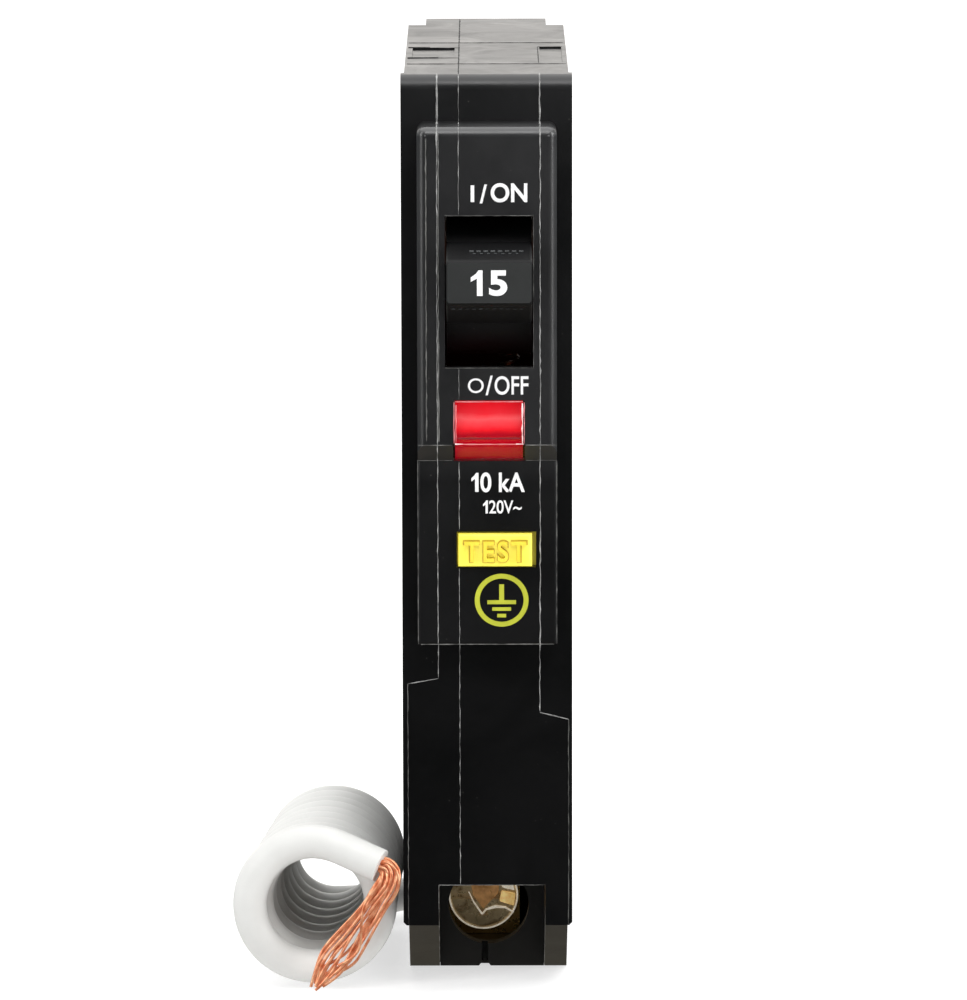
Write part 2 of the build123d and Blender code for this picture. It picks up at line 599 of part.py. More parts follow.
with BuildPart() as load_screw:
    disc_y(screw_x, screw_z, head_r, -4.2, -1.4)
    fillet(edges().sort_by(Axis.Y)[:1], radius=0.5)
    disc_y(screw_x, screw_z, 2.35, -1.4, 3.65)
    block(screw_x - 5, screw_x + 5, -4.5, -3.1, screw_z - 0.5, screw_z + 0.5, Mode.SUBTRACT)
    block(screw_x - 0.5, screw_x + 0.5, -4.5, -3.1, screw_z - 2.4, screw_z + 2.4, Mode.SUBTRACT)
load_screw.part.label = "load_screw"
export_step(load_screw.part, "parts/load_screw.step")

with BuildPart() as load_clamp:
    block(-3.0, 2.0, 3.7, 4.35, 2.3, 12.2)
load_clamp.part.label = "load_clamp"
export_step(load_clamp.part, "parts/load_clamp.step")

# ---- inner wiring -------------------------------------------------------------------------------
wire_r = 0.95


def wire_along(points, radius, r):
    """Round tube along a route with rounded corners."""
    with BuildLine() as route:
        FilletPolyline(*points, radius=radius)
    with BuildSketch(Plane(origin=route.line @ 0, z_dir=route.line % 0)) as end:
        Circle(r)
    sweep(end.sketch, path=route.line)


with BuildPart() as hot_conductor:
    wire_along([(0.3, 2.2, 12.6), (0.3, 2.2, 18.0), (0.3, 4.0, 23.0), (0.3, 4.0, 42.1), (0.3, 14.6, 42.1),
                (0.3, 14.6, 25.0), (0.3, 24.6, 25.0)], 1.6, wire_r)
hot_conductor.part.label = "hot_conductor"
export_step(hot_conductor.part, "parts/hot_conductor.step")

with BuildPart() as neutral_conductor:
    wire_along([(-3.5, 24.5, 15.9), (-3.5, 24.5, 27.0), (-2.4, 4.0, 27.0), (-2.4, 4.0, 42.3),
                (board_x1, 4.0, 42.3)], 1.6, wire_r)
neutral_conductor.part.label = "neutral_conductor"
export_step(neutral_conductor.part, "parts/neutral_conductor.step")

# ---- neutral pigtail ----------------------------------------------------------------------------
lead_floor_z = 2.5
lead_route = [lead_exit, (lead_exit[0], lead_exit[1], lead_floor_z), (-12.4, 14.1, lead_floor_z),
              (coil_back[0], coil_back[1], lead_floor_z)]
lead_bends = [8.0, 7.0]
print("pigtail_lead bend radii in mm:", lead_bends)

coil_axis = Vector(*coil_front) - Vector(*coil_back)
back_plane = Plane(origin=Vector(*coil_back) - coil_axis.normalized() * (wire_d / 2), z_dir=coil_axis)
front_plane = Plane(origin=Vector(*coil_front) + coil_axis.normalized() * (wire_d / 2), z_dir=coil_axis)
with BuildPart() as pigtail_coil:
    for offset, mode in ((wire_d / 2, Mode.ADD), (-wire_d / 2, Mode.SUBTRACT)):
        with BuildSketch(back_plane):
            Circle(coil_back_r + offset)
        with BuildSketch(front_plane):
            Circle(coil_front_r + offset)
        loft(mode=mode)
    block(-big, big, -big, big, -5.0, 0.0, Mode.SUBTRACT)
pigtail_coil.part.label = "pigtail_coil"
export_step(pigtail_coil.part, "parts/pigtail_coil.step")

with BuildPart() as pigtail_lead:
    with BuildLine() as lead_path:
        FilletPolyline(*lead_route, radius=lead_bends)
    with BuildSketch(Plane(origin=lead_exit, z_dir=(0, 0, -1))) as lead_end:
        Circle(wire_d / 2)
    sweep(lead_end.sketch, path=lead_path.line)
    add(pigtail_coil.part, mode=Mode.SUBTRACT)
    offcuts = solids().sort_by(SortBy.VOLUME)[:-1]
    if offcuts:
        add(offcuts, mode=Mode.SUBTRACT)
pigtail_lead.part.label = "pigtail_lead"
export_step(pigtail_lead.part, "parts/pigtail_lead.step")

strand_route = [(-12.0, -24.0, 14.8), (-10.8, -25.8, 13.0), (-12.6, -26.3, 8.6), (-16.5, -26.3, 4.3),
                (-20.0, -26.2, 2.2)]
with BuildPart() as pigtail_strands:
    with BuildLine() as strand_path:
        FilletPolyline(*strand_route, radius=1.7)
    with BuildSketch(Plane(origin=strand_path.line @ 0, z_dir=strand_path.line % 0)) as strand_end:
        Circle(1.1)
    sweep(strand_end.sketch, path=strand_path.line)
    add(pigtail_coil.part, mode=Mode.SUBTRACT)
pigtail_strands.part.label = "pigtail_strands"
export_step(pigtail_strands.part, "parts/pigtail_strands.step")
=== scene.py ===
"""GFCI breaker: materials, lettering, moulding detail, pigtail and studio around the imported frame, in metres."""

import math
import random

import bmesh
import bpy
from mathutils import Matrix, Vector


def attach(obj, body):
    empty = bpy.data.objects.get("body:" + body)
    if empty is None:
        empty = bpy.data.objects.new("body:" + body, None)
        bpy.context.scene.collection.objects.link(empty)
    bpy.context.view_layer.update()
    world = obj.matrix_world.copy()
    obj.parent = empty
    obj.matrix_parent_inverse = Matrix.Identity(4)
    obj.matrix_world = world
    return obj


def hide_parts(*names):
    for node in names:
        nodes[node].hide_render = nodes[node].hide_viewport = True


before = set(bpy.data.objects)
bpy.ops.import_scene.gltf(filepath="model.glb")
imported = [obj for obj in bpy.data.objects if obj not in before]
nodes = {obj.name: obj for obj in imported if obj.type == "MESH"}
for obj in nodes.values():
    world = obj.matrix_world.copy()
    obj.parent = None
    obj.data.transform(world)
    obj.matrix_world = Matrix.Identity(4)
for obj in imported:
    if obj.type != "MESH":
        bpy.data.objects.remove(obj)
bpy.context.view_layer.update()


scene = bpy.context.scene
MM = 0.001
rng = random.Random(7)

# ---- camera -------------------------------------------------------------------------------------
CAMERA_AT = Vector((-0.0004, -0.8242, 0.19246))
CAMERA_DOWN = math.radians(9.616)
CAMERA_ROLL = math.radians(-0.12)

camera_data = bpy.data.cameras.new("camera")
camera_data.sensor_width = 36.0
camera_data.lens = 261.2
camera_data.clip_start, camera_data.clip_end = 0.01, 20.0
camera = bpy.data.objects.new("camera", camera_data)
scene.collection.objects.link(camera)
camera.matrix_world = (
    Matrix.Translation(CAMERA_AT)
    @ Matrix.Rotation(math.radians(90) - CAMERA_DOWN, 4, "X")
    @ Matrix.Rotation(CAMERA_ROLL, 4, "Z")
)
scene.camera = camera

# ---- dimensions shared with the part, in millimetres --------------------------------------------
SHOULDER_Y, UPPER_Y, LOWER_Y = -24.2, -30.2, -28.4
TOP_Z, BLOCK_TOP_Z, STEP_Z, RAMP_Z, BLOCK_END_Z = 104.6, 99.5, 64.1, 62.1, 41.3
SEAM_LEFT, SEAM_MID, SEAM_RIGHT = -5.5, -3.1, 5.9
PIVOT_Y, PIVOT_Z = -22.0, 81.2
HANDLE_TILT, HANDLE_TIP_R = 7.5, 15.95
BUTTON_Y = -28.95
SCREW_X, SCREW_Z, SCREW_FACE_Y = -0.5, 7.2, -4.2
WIRE_D = 3.8
COIL_BACK, COIL_FRONT = Vector((-17.8, 12.8, 8.8)), Vector((-19.6, -22.0, 9.9))
COIL_BACK_R, COIL_FRONT_R = 6.3, 7.6
LEAD_ROUTE = [(-3.5, 24.5, 14.0), (-3.5, 24.5, 2.5), (-12.4, 14.1, 2.5)]


# ---- material helpers ---------------------------------------------------------------------------
PLASTIC_IOR = 1.5
# where the painted light by height starts in y, and how far it blends in
PAINTED_LIGHT_STARTS_Y = (SHOULDER_Y + 1.7, SHOULDER_Y - 1.4)  # front plane, then the block
PAINTED_LIGHT_BLEND = 1.3
SIDE_LEVEL = 0.5  # on the sides, where the colour stays as given


def new_material(name):
    m = bpy.data.materials.new(name)
    m.use_nodes = True
    m.node_tree.nodes.clear()
    out = m.node_tree.nodes.new("ShaderNodeOutputMaterial")
    return m, m.node_tree.nodes, m.node_tree.links, out


def noise(n, l, coord, scale, detail=4.0, rough=0.55, distortion=0.0):
    t = n.new("ShaderNodeTexNoise")
    t.inputs["Scale"].default_value = scale
    t.inputs["Detail"].default_value = detail
    t.inputs["Roughness"].default_value = rough
    t.inputs["Distortion"].default_value = distortion
    l.new(coord, t.inputs["Vector"])
    return t.outputs["Fac"]


def ramp(n, l, fac, stops):
    r = n.new("ShaderNodeValToRGB")
    e = r.color_ramp.elements
    while len(e) < len(stops):
        e.new(0.5)
    for el, (pos, col) in zip(e, stops):
        el.position = pos
        el.color = (*col, 1.0) if len(col) == 3 else col
    l.new(fac, r.inputs["Fac"])
    return r.outputs["Color"]


def grey(v):
    return (v, v, v)


def maths(n, l, op, a, b):
    m = n.new("ShaderNodeMath")
    m.operation = op
    for s, v in ((m.inputs[0], a), (m.inputs[1], b)):
        if isinstance(v, (int, float)):
            s.default_value = v
        else:
            l.new(v, s)
    return m.outputs[0]


def bump(n, l, height, distance, strength):
    b = n.new("ShaderNodeBump")
    b.inputs["Strength"].default_value = strength
    b.inputs["Distance"].default_value = distance
    l.new(height, b.inputs["Height"])
    return b.outputs["Normal"]


def surface(name, low, high, rough_low, rough_high, scale=90.0, fine=1400.0, relief=0.00002,
            relief_strength=0.25,
            specular=0.5, glow=None):
    """Colour mottling, a roughness map and fine relief, in object space; glow is a colour and a strength."""
    m, n, l, out = new_material(name)
    tc = n.new("ShaderNodeTexCoord").outputs["Object"]
    p = n.new("ShaderNodeBsdfPrincipled")
    broad = noise(n, l, tc, scale)
    grain = noise(n, l, tc, fine, 3.0, 0.6)
    l.new(ramp(n, l, broad, [(0.3, low), (0.7, high)]), p.inputs["Base Color"])
    mixed = maths(n, l, "ADD", maths(n, l, "MULTIPLY", broad, 0.6), maths(n, l, "MULTIPLY", grain, 0.4))
    l.new(ramp(n, l, mixed, [(0.3, grey(rough_low)), (0.7, grey(rough_high))]), p.inputs["Roughness"])
    l.new(bump(n, l, grain, relief, relief_strength), p.inputs["Normal"])
    p.inputs["Specular IOR Level"].default_value = specular
    p.inputs["IOR"].default_value = PLASTIC_IOR
    if glow:
        p.inputs["Emission Color"].default_value = (*glow[:3], 1.0)
        p.inputs["Emission Strength"].default_value = glow[3]
    l.new(p.outputs[0], out.inputs["Surface"])
    return m


def moulded_black(name, low, high, rough_low, rough_high, dust, specular=0.5, painted_height_light=None):
    """Case plastic: near-black, with fine grain, broad mottling, pale specks and an uneven gloss; the height
    ramps, when given, add painted light.
    """
    m, n, l, out = new_material(name)
    tc = n.new("ShaderNodeTexCoord").outputs["Object"]
    p = n.new("ShaderNodeBsdfPrincipled")
    broad = noise(n, l, tc, 45.0, 5.0, 0.6, 0.6)
    grain = noise(n, l, tc, 2600.0, 2.0, 0.5)
    body = ramp(n, l, broad, [(0.32, low), (0.68, high)])
    speck = n.new("ShaderNodeTexVoronoi")
    speck.inputs["Scale"].default_value = 900.0
    l.new(tc, speck.inputs["Vector"])
    dots = ramp(n, l, speck.outputs["Distance"], [(0.0, grey(1.0)), (0.10, grey(0.0))])
    patches = ramp(n, l, noise(n, l, tc, 160.0, 3.0), [(0.52, grey(0.0)), (0.68, grey(1.0))])
    mask = maths(n, l, "MULTIPLY", maths(n, l, "MULTIPLY", dots, patches), dust)
    mix = n.new("ShaderNodeMix")
    mix.data_type = "RGBA"
    mix.inputs["B"].default_value = (0.22, 0.21, 0.19, 1.0)
    l.new(mask, mix.inputs["Factor"])
    l.new(body, mix.inputs["A"])
    p.inputs["Specular IOR Level"].default_value = specular
    if painted_height_light:
        # colour and gloss are scaled together by height, as painted light: darker and less glossy low down,
        # lighter and glossier higher up. There is one ramp for the front plane and one for the block that stands
        # out of it. The ramps were fitted until the render's brightness matched the reference. They aren't
        # measured polish or wear.
        sep = n.new("ShaderNodeSeparateXYZ")
        l.new(tc, sep.inputs[0])
        height = maths(n, l, "MULTIPLY", sep.outputs["Z"], 1.0 / (TOP_Z * MM))
        level = SIDE_LEVEL
        for start_y, stops in zip(PAINTED_LIGHT_STARTS_Y, painted_height_light):
            ahead = maths(n, l, "SUBTRACT", start_y * MM, sep.outputs["Y"])
            blend = maths(n, l, "DIVIDE", ahead, PAINTED_LIGHT_BLEND * MM)
            inside = ramp(n, l, blend, [(0.0, grey(0.0)), (1.0, grey(1.0))])
            change = maths(n, l, "SUBTRACT", ramp(n, l, height, stops), level)
            level = maths(n, l, "ADD", maths(n, l, "MULTIPLY", change, inside), level)
        scaled = n.new("ShaderNodeVectorMath")
        scaled.operation = "SCALE"
        l.new(mix.outputs["Result"], scaled.inputs[0])
        l.new(maths(n, l, "MULTIPLY", level, 1.0 / SIDE_LEVEL), scaled.inputs["Scale"])
        l.new(scaled.outputs[0], p.inputs["Base Color"])
        l.new(level, p.inputs["Specular IOR Level"])
    else:
        l.new(mix.outputs["Result"], p.inputs["Base Color"])
    smear = noise(n, l, tc, 120.0, 6.0, 0.65, 1.2)
    l.new(ramp(n, l, smear, [(0.3, grey(rough_low)), (0.7, grey(rough_high))]), p.inputs["Roughness"])
    l.new(bump(n, l, grain, 0.000012, 0.2), p.inputs["Normal"])
    p.inputs["IOR"].default_value = PLASTIC_IOR
    l.new(p.outputs[0], out.inputs["Surface"])
    return m


def metal(name, low, high, rough_low, rough_high, stretch=(1, 1, 1), scratch=700.0, tarnish=None,
          relief=0.00002,
          metallic=1.0, mottle=260.0):
    """Metal with drawn or rolled streaks, a roughness map and darker tarnish in patches."""
    m, n, l, out = new_material(name)
    tc = n.new("ShaderNodeTexCoord").outputs["Object"]
    mp = n.new("ShaderNodeMapping")
    mp.inputs["Scale"].default_value = stretch
    l.new(tc, mp.inputs["Vector"])
    p = n.new("ShaderNodeBsdfPrincipled")
    broad = noise(n, l, tc, mottle, 4.0, 0.6)
    streak = noise(n, l, mp.outputs["Vector"], scratch, 3.0, 0.6)
    col = ramp(n, l, broad, [(0.3, low), (0.7, high)])
    if tarnish:
        patch = ramp(n, l, noise(n, l, tc, 420.0, 5.0, 0.7, 0.8), [(0.52, grey(0.0)), (0.66, grey(1.0))])
        mix = n.new("ShaderNodeMix")
        mix.data_type = "RGBA"
        mix.inputs["B"].default_value = (*tarnish, 1.0)
        l.new(patch, mix.inputs["Factor"])
        l.new(col, mix.inputs["A"])
        col = mix.outputs["Result"]
    l.new(col, p.inputs["Base Color"])
    l.new(ramp(n, l, streak, [(0.3, grey(rough_low)), (0.7, grey(rough_high))]), p.inputs["Roughness"])
    l.new(bump(n, l, streak, relief, 0.3), p.inputs["Normal"])
    p.inputs["Metallic"].default_value = metallic
    l.new(p.outputs[0], out.inputs["Surface"])
    return m


# ---- materials ----------------------------------------------------------------------------------
M = {}
# the case carries painted light by height: darker low down, lighter and glossier higher up
M["case"] = moulded_black("case_black", (0.0050, 0.0052, 0.0055), (0.0105, 0.0105, 0.0112), 0.28, 0.42, 0.5,
                          painted_height_light=([(0.30, grey(0.2)), (0.50, grey(0.29)), (0.90, grey(0.36)),
                                 (0.95, grey(0.55))],
                                [(0.45, grey(0.3)), (0.57, grey(0.42)), (0.60, grey(0.86)),
                                 (1.0, grey(0.9))]))
M["handle"] = moulded_black("handle_black", (0.0035, 0.0036, 0.004), (0.006, 0.006, 0.0065), 0.5, 0.62, 0.25,
                            specular=0.22)
M["handle_face"] = moulded_black("handle_face_grey", (0.0125, 0.014, 0.0138), (0.0175, 0.019, 0.0188),
                                 0.5, 0.62,
                                 0.25)
M["wall"] = moulded_black("wall_black", (0.013, 0.0125, 0.011), (0.019, 0.018, 0.016), 0.45, 0.6, 0.4)
M["flash"] = surface("moulding_flash", (0.10, 0.10, 0.10), (0.42, 0.42, 0.41), 0.4, 0.7, 900.0, 3000.0)
# pale grey for the seam flash lines and for painted highlights along edges
M["edge_wear"] = surface("pale_flash_and_edge_highlight", (0.05, 0.05, 0.048), (0.20, 0.20, 0.19), 0.35, 0.6, 700.0, 3000.0)
M["print"] = surface("white_print", (0.72, 0.72, 0.72), (0.86, 0.86, 0.86), 0.45, 0.6, 800.0, 4000.0,
                     0.000004)
M["mark"] = surface("green_print", (0.36, 0.38, 0.015), (0.47, 0.50, 0.025), 0.45, 0.6, 500.0, 4000.0,
                    0.000004)
# the button glows a little: painted light that makes the yellow read brighter
M["yellow"] = surface("button_yellow", (0.93, 0.80, 0.075), (0.97, 0.86, 0.13), 0.34, 0.46, 260.0,
                      2600.0, 0.00002,
                      0.2, specular=0.45, glow=(0.9, 0.75, 0.06, 0.10))
# a darker copy of the button's yellow for the raised letters: painted shade
M["yellow_letter"] = surface("button_letter_shaded_yellow", (0.78, 0.60, 0.035), (0.88, 0.70, 0.06), 0.36, 0.5,
                             300.0, specular=0.4)


FLAG_LOW_Z, FLAG_BAND = 61.5, 8.0


def flag_red():
    """Glossy red with painted light: the paler band across the flag is a painted highlight, copied from the soft
    highlight seen on the window there, the deeper red below it is painted shade on the part that slopes away
    downwards, and the glow is painted light that only makes the red bright enough."""
    m, n, l, out = new_material("flag_red")
    tc = n.new("ShaderNodeTexCoord").outputs["Object"]
    sep = n.new("ShaderNodeSeparateXYZ")
    l.new(tc, sep.inputs[0])
    above = maths(n, l, "SUBTRACT", sep.outputs["Z"], FLAG_LOW_Z * MM)
    height = maths(n, l, "MULTIPLY", above, 1.0 / (FLAG_BAND * MM))
    band_wobble = maths(n, l, "MULTIPLY", maths(n, l, "SUBTRACT", noise(n, l, tc, 320.0), 0.5), 0.12)
    at = maths(n, l, "ADD", height, band_wobble)
    # deep red low down is painted shade; the pale stops near 0.6 are a painted highlight
    red = ramp(n, l, at, [(0.0, (0.40, 0.0, 0.012)), (0.30, (0.62, 0.0, 0.015)), (0.42, (0.45, 0.0, 0.012)),
                          (0.50, (0.90, 0.004, 0.016)), (0.60, (1.0, 0.055, 0.07)),
                          (0.66, (1.0, 0.10, 0.115)),
                          (0.74, (0.96, 0.02, 0.035)), (0.85, (0.92, 0.0, 0.012)), (1.0, (0.85, 0.0, 0.008))])
    p = n.new("ShaderNodeBsdfPrincipled")
    l.new(red, p.inputs["Base Color"])
    l.new(red, p.inputs["Emission Color"])
    p.inputs["Emission Strength"].default_value = 0.32
    l.new(ramp(n, l, noise(n, l, tc, 240.0), [(0.3, grey(0.3)), (0.7, grey(0.42))]), p.inputs["Roughness"])
    l.new(bump(n, l, noise(n, l, tc, 2400.0), 0.00001, 0.2), p.inputs["Normal"])
    p.inputs["Specular IOR Level"].default_value = 0.25
    l.new(p.outputs[0], out.inputs["Surface"])
    return m


M["red"] = flag_red()
M["wire"] = surface("wire_white", (0.585, 0.585, 0.568), (0.65, 0.65, 0.633), 0.36, 0.50, 120.0, 1800.0,
                    0.00003, 0.3,
                    specular=0.4)
M["copper"] = metal("bare_copper", (0.60, 0.14, 0.045), (1.0, 0.56, 0.33), 0.14, 0.26, relief=0.000004,
                    metallic=0.6,
                    mottle=1100.0)
M["gold"] = metal("yellow_zinc", (0.62, 0.37, 0.10), (0.90, 0.62, 0.22), 0.22, 0.42,
                  tarnish=(0.34, 0.17, 0.05),
                  metallic=0.6)
M["screw"] = metal("screw_zinc", (0.42, 0.31, 0.16), (0.66, 0.52, 0.30), 0.20, 0.40,
                   tarnish=(0.22, 0.13, 0.05),
                   metallic=0.6)
M["steel"] = metal("plain_steel", (0.42, 0.42, 0.43), (0.60, 0.60, 0.60), 0.28, 0.45)
M["spring"] = metal("spring_steel", (0.46, 0.46, 0.47), (0.62, 0.62, 0.62), 0.2, 0.35)
M["tinned"] = metal("tinned_copper", (0.62, 0.61, 0.58), (0.76, 0.75, 0.71), 0.25, 0.4)
M["silver"] = metal("contact_silver", (0.72, 0.72, 0.70), (0.84, 0.84, 0.82), 0.2, 0.35)
M["fibre"] = surface("fibre_grey", (0.36, 0.33, 0.29), (0.48, 0.45, 0.40), 0.7, 0.85, 300.0, 1800.0)
M["board"] = surface("board_green", (0.02, 0.12, 0.045), (0.035, 0.18, 0.06), 0.35, 0.5, 500.0, 2500.0)
M["part"] = surface("component_black", (0.012, 0.012, 0.012), (0.022, 0.022, 0.022), 0.45, 0.6)
M["blue"] = surface("varistor_blue", (0.02, 0.08, 0.32), (0.03, 0.11, 0.40), 0.3, 0.42)
M["tan"] = surface("resistor_tan", (0.48, 0.34, 0.21), (0.58, 0.42, 0.27), 0.35, 0.5)
M["core"] = surface("core_grey", (0.14, 0.14, 0.15), (0.2, 0.2, 0.21), 0.5, 0.7)
M["winding"] = metal("enamelled_wire", (0.42, 0.17, 0.07), (0.55, 0.24, 0.10), 0.25, 0.4, (1, 1, 6), 500.0)
M["bobbin"] = surface("bobbin_white", (0.66, 0.65, 0.6), (0.74, 0.73, 0.68), 0.4, 0.55)
M["black_wire"] = surface("wire_black", (0.012, 0.012, 0.012), (0.02, 0.02, 0.02), 0.38, 0.5)


def clear_lens():
    """Clear acrylic: see-through, with gloss that grows towards grazing angles, the same from either side."""
    m, n, l, out = new_material("clear_lens")
    see = n.new("ShaderNodeBsdfTransparent")
    see.inputs["Color"].default_value = (0.98, 0.97, 0.97, 1.0)
    gloss = n.new("ShaderNodeBsdfGlossy")
    tc = n.new("ShaderNodeTexCoord").outputs["Object"]
    l.new(ramp(n, l, noise(n, l, tc, 300.0), [(0.3, grey(0.04)), (0.7, grey(0.12))]),
          gloss.inputs["Roughness"])
    facing = n.new("ShaderNodeLayerWeight").outputs["Facing"]
    fac = maths(n, l, "ADD", maths(n, l, "MULTIPLY", maths(n, l, "POWER", facing, 4.0), 0.5), 0.022)
    mix = n.new("ShaderNodeMixShader")
    l.new(fac, mix.inputs["Fac"])
    l.new(see.outputs[0], mix.inputs[1])
    l.new(gloss.outputs[0], mix.inputs[2])
    l.new(mix.outputs[0], out.inputs["Surface"])
    return m


M["lens"] = clear_lens()
# pink for painted highlights on the window's edges
M["lens_edge"] = surface("lens_edge_painted_highlight", (0.86, 0.50, 0.50), (0.95, 0.78, 0.77), 0.3, 0.5, 500.0, 2600.0)
M["grip"] = surface("grip_mark", (0.012, 0.014, 0.015), (0.045, 0.05, 0.052), 0.3, 0.5, 900.0)
M["yellow_shadow"] = surface("button_yellow_shadow", (0.50, 0.33, 0.02), (0.62, 0.43, 0.03), 0.45, 0.6, 700.0)
M["gap"] = surface("joint_shadow", (0.002, 0.002, 0.002), (0.006, 0.006, 0.006), 0.8, 0.95)
# dimmer red-pink for weaker painted highlights on the window's edges
M["frost_dim"] = surface("lens_edge_dim", (0.55, 0.10, 0.12), (0.80, 0.32, 0.33), 0.3, 0.5, 700.0, 2600.0)
M["deep_red"] = surface("window_shadow_red", (0.16, 0.0, 0.004), (0.26, 0.0, 0.008), 0.4, 0.5)
# bright metal for painted highlights on the screw head
M["bright"] = metal("screw_painted_highlight", (0.72, 0.62, 0.46), (1.0, 0.93, 0.78), 0.2, 0.35,
                     metallic=0.35, mottle=900.0)
M["brass_facet"] = metal("facet_brass", (0.60, 0.36, 0.10), (1.0, 0.72, 0.30), 0.25, 0.4,
                     metallic=0.35, mottle=1200.0)
M["copper_facet"] = metal("facet_copper", (0.28, 0.13, 0.04), (0.62, 0.32, 0.12), 0.25, 0.4,
                     metallic=0.4, mottle=900.0)


def lit(material, strength):
    """Adds a glow of the base colour. Real metal has none: it makes up for the little light that reaches the
    screw's recess and the strands in this set-up."""
    for node in material.node_tree.nodes:
        if node.type == "BSDF_PRINCIPLED":
            source = node.inputs["Base Color"].links[0].from_socket
            material.node_tree.links.new(source, node.inputs["Emission Color"])
            node.inputs["Emission Strength"].default_value = strength


GLOW = {"bright": 0.38, "brass_facet": 0.5, "copper_facet": 0.26, "screw": 0.07, "copper": 0.08}
for key, strength in GLOW.items():
    lit(M[key], strength)

BY_NODE = {
    "case": "left_cover left_case right_case right_cover", "wall": "terminal_wall",
    "handle": "handle", "lens": "trip_window", "red": "trip_flag", "yellow": "test_button",
    "steel": "case_rivets flag_pin lever_pin arm_pin armature_pin calibration_screw magnet_yoke armature "
             "solenoid_frame plunger trip_lever bimetal_bracket arc_plates",
    "spring": "toggle_spring armature_spring plunger_spring test_spring jaw_spring test_contact test_seat",
    "copper": "contact_arm bimetal", "tinned": "line_jaw", "silver": "moving_contact fixed_contact",
    "gold": "load_terminal load_clamp", "screw": "load_screw", "fibre": "arc_liner", "board": "circuit_board",
    "part": "control_chip thyristor filter_capacitor", "blue": "varistor", "tan": "resistors",
    "core": "sensing_core ground_core", "winding": "sensing_winding ground_winding solenoid_coil",
    "bobbin": "solenoid_bobbin", "black_wire": "hot_conductor", "wire": "neutral_conductor",
}


def paint(obj, material):
    obj.data.materials.clear()
    obj.data.materials.append(material)


def add_piece(name, data, material, body=None):
    """Puts a mesh or a curve into the scene with its material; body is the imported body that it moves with."""
    o = bpy.data.objects.new(name, data)
    scene.collection.objects.link(o)
    paint(o, material)
    if body:
        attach(o, body)
    return o


for key, names in BY_NODE.items():
    for name in names.split():
        paint(nodes[name], M[key])

# these pieces get their edges broken, so that they catch the light; widths in millimetres
EDGE_BREAK = {"left_cover": 0.14, "left_case": 0.12, "right_case": 0.12, "right_cover": 0.14,
              "terminal_wall": 0.12,
              "handle": 0.10, "test_button": 0.35, "load_terminal": 0.2, "load_screw": 0.12, "line_jaw": 0.1,
              "trip_window": 0.08}
for name, width in EDGE_BREAK.items():
    o = nodes[name]
    flat = o.modifiers.new("merge_flats", "DECIMATE")
    flat.decimate_type = "DISSOLVE"
    flat.angle_limit = math.radians(0.6)
    edge = o.modifiers.new("edge_break", "BEVEL")
    edge.width = width * MM
    edge.segments = 2
    edge.limit_method = "ANGLE"
    edge.angle_limit = math.radians(32)
    edge.use_clamp_overlap = True
    edge.harden_normals = False
    wn = o.modifiers.new("shade", "WEIGHTED_NORMAL")
    wn.keep_sharp = True


# ---- curve helpers ------------------------------------------------------------------------------
def tube_curve(name, lines, depth, material, radii=None, resolution=2, kind="POLY"):
    """One curve object with a round section; lines is a list of point lists in millimetres."""
    c = bpy.data.curves.new(name, "CURVE")
    c.dimensions = "3D"
    c.bevel_depth = depth * MM
    c.bevel_resolution = resolution
    c.use_fill_caps = True
    for i, pts in enumerate(lines):
        s = c.splines.new(kind)
        s.points.add(len(pts) - 1)
        for j, p in enumerate(pts):
            s.points[j].co = (p[0] * MM, p[1] * MM, p[2] * MM, 1.0)
            s.points[j].radius = radii[i][j] if radii else 1.0
        if kind == "NURBS":
            s.order_u = 3
            s.use_endpoint_u = True
    return add_piece(name, c, material)


# ---- neutral pigtail ----------------------------------------------------------------------------
COIL_TURNS = 8.5
STEPS_PER_TURN = 24
END_POINTS = [(2.2, -0.7, 7.35), (4.8, -1.6, 6.3), (7.53, -2.5, 5.25)]  # from the front ring's centre


def cord_points():
    pts = [Vector(p) for p in LEAD_ROUTE]
    steps = int(COIL_TURNS * STEPS_PER_TURN)
    for i in range(steps + 1):
        t = i / steps
        angle = math.radians(-90.0) - 2 * math.pi * COIL_TURNS * t
        centre = COIL_BACK.lerp(COIL_FRONT, t)
        loose = max(0.0, t - 0.87) / 0.13
        r = COIL_BACK_R + (COIL_FRONT_R - 0.35 - COIL_BACK_R) * t + 0.35 * loose
        wobble = 0.05 * math.sin(9.0 * t * math.pi) * (1 - loose)
        pts.append(centre + Vector(((r + wobble) * math.cos(angle), 0.0, (r - wobble) * math.sin(angle))))
    pts += [COIL_FRONT + Vector(p) for p in END_POINTS]
    return pts


route = cord_points()
pigtail = tube_curve("pigtail_wire", [route], WIRE_D / 2, M["wire"], resolution=8, kind="NURBS")
pigtail.data.resolution_u = 4
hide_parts("pigtail_lead", "pigtail_coil")
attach(pigtail, "case")

# ---- bare strands -------------------------------------------------------------------------------
STRANDS = 17
STRAND_R = 0.165
# middle of the bundle, its half width and half thickness at each station
BUNDLE = [
    ((-12.6, -24.3, 15.25), 0.85, 0.85), ((-11.6, -24.6, 15.3), 0.85, 0.8), ((-11.0, -25.0, 14.7), 0.95, 0.7),
    ((-11.05, -25.4, 13.5), 1.1, 0.6), ((-11.75, -25.7, 12.3), 1.3, 0.5), ((-13.4, -25.9, 9.9), 1.5, 0.45),
    ((-15.3, -26.0, 7.3), 1.7, 0.4), ((-17.0, -26.0, 4.8), 1.75, 0.4), ((-18.3, -26.0, 3.1), 1.2, 0.35),
    ((-19.3, -26.0, 1.6), 0.55, 0.3),
]
STRAY = [(-12.6, -24.6, 14.9), (-11.8, -25.4, 14.6), (-12.2, -26.0, 13.3), (-14.0, -26.7, 11.4),
         (-14.3, -26.8, 8.6),
         (-14.3, -26.8, 6.2), (-15.6, -26.7, 4.7), (-16.9, -26.4, 4.1)]


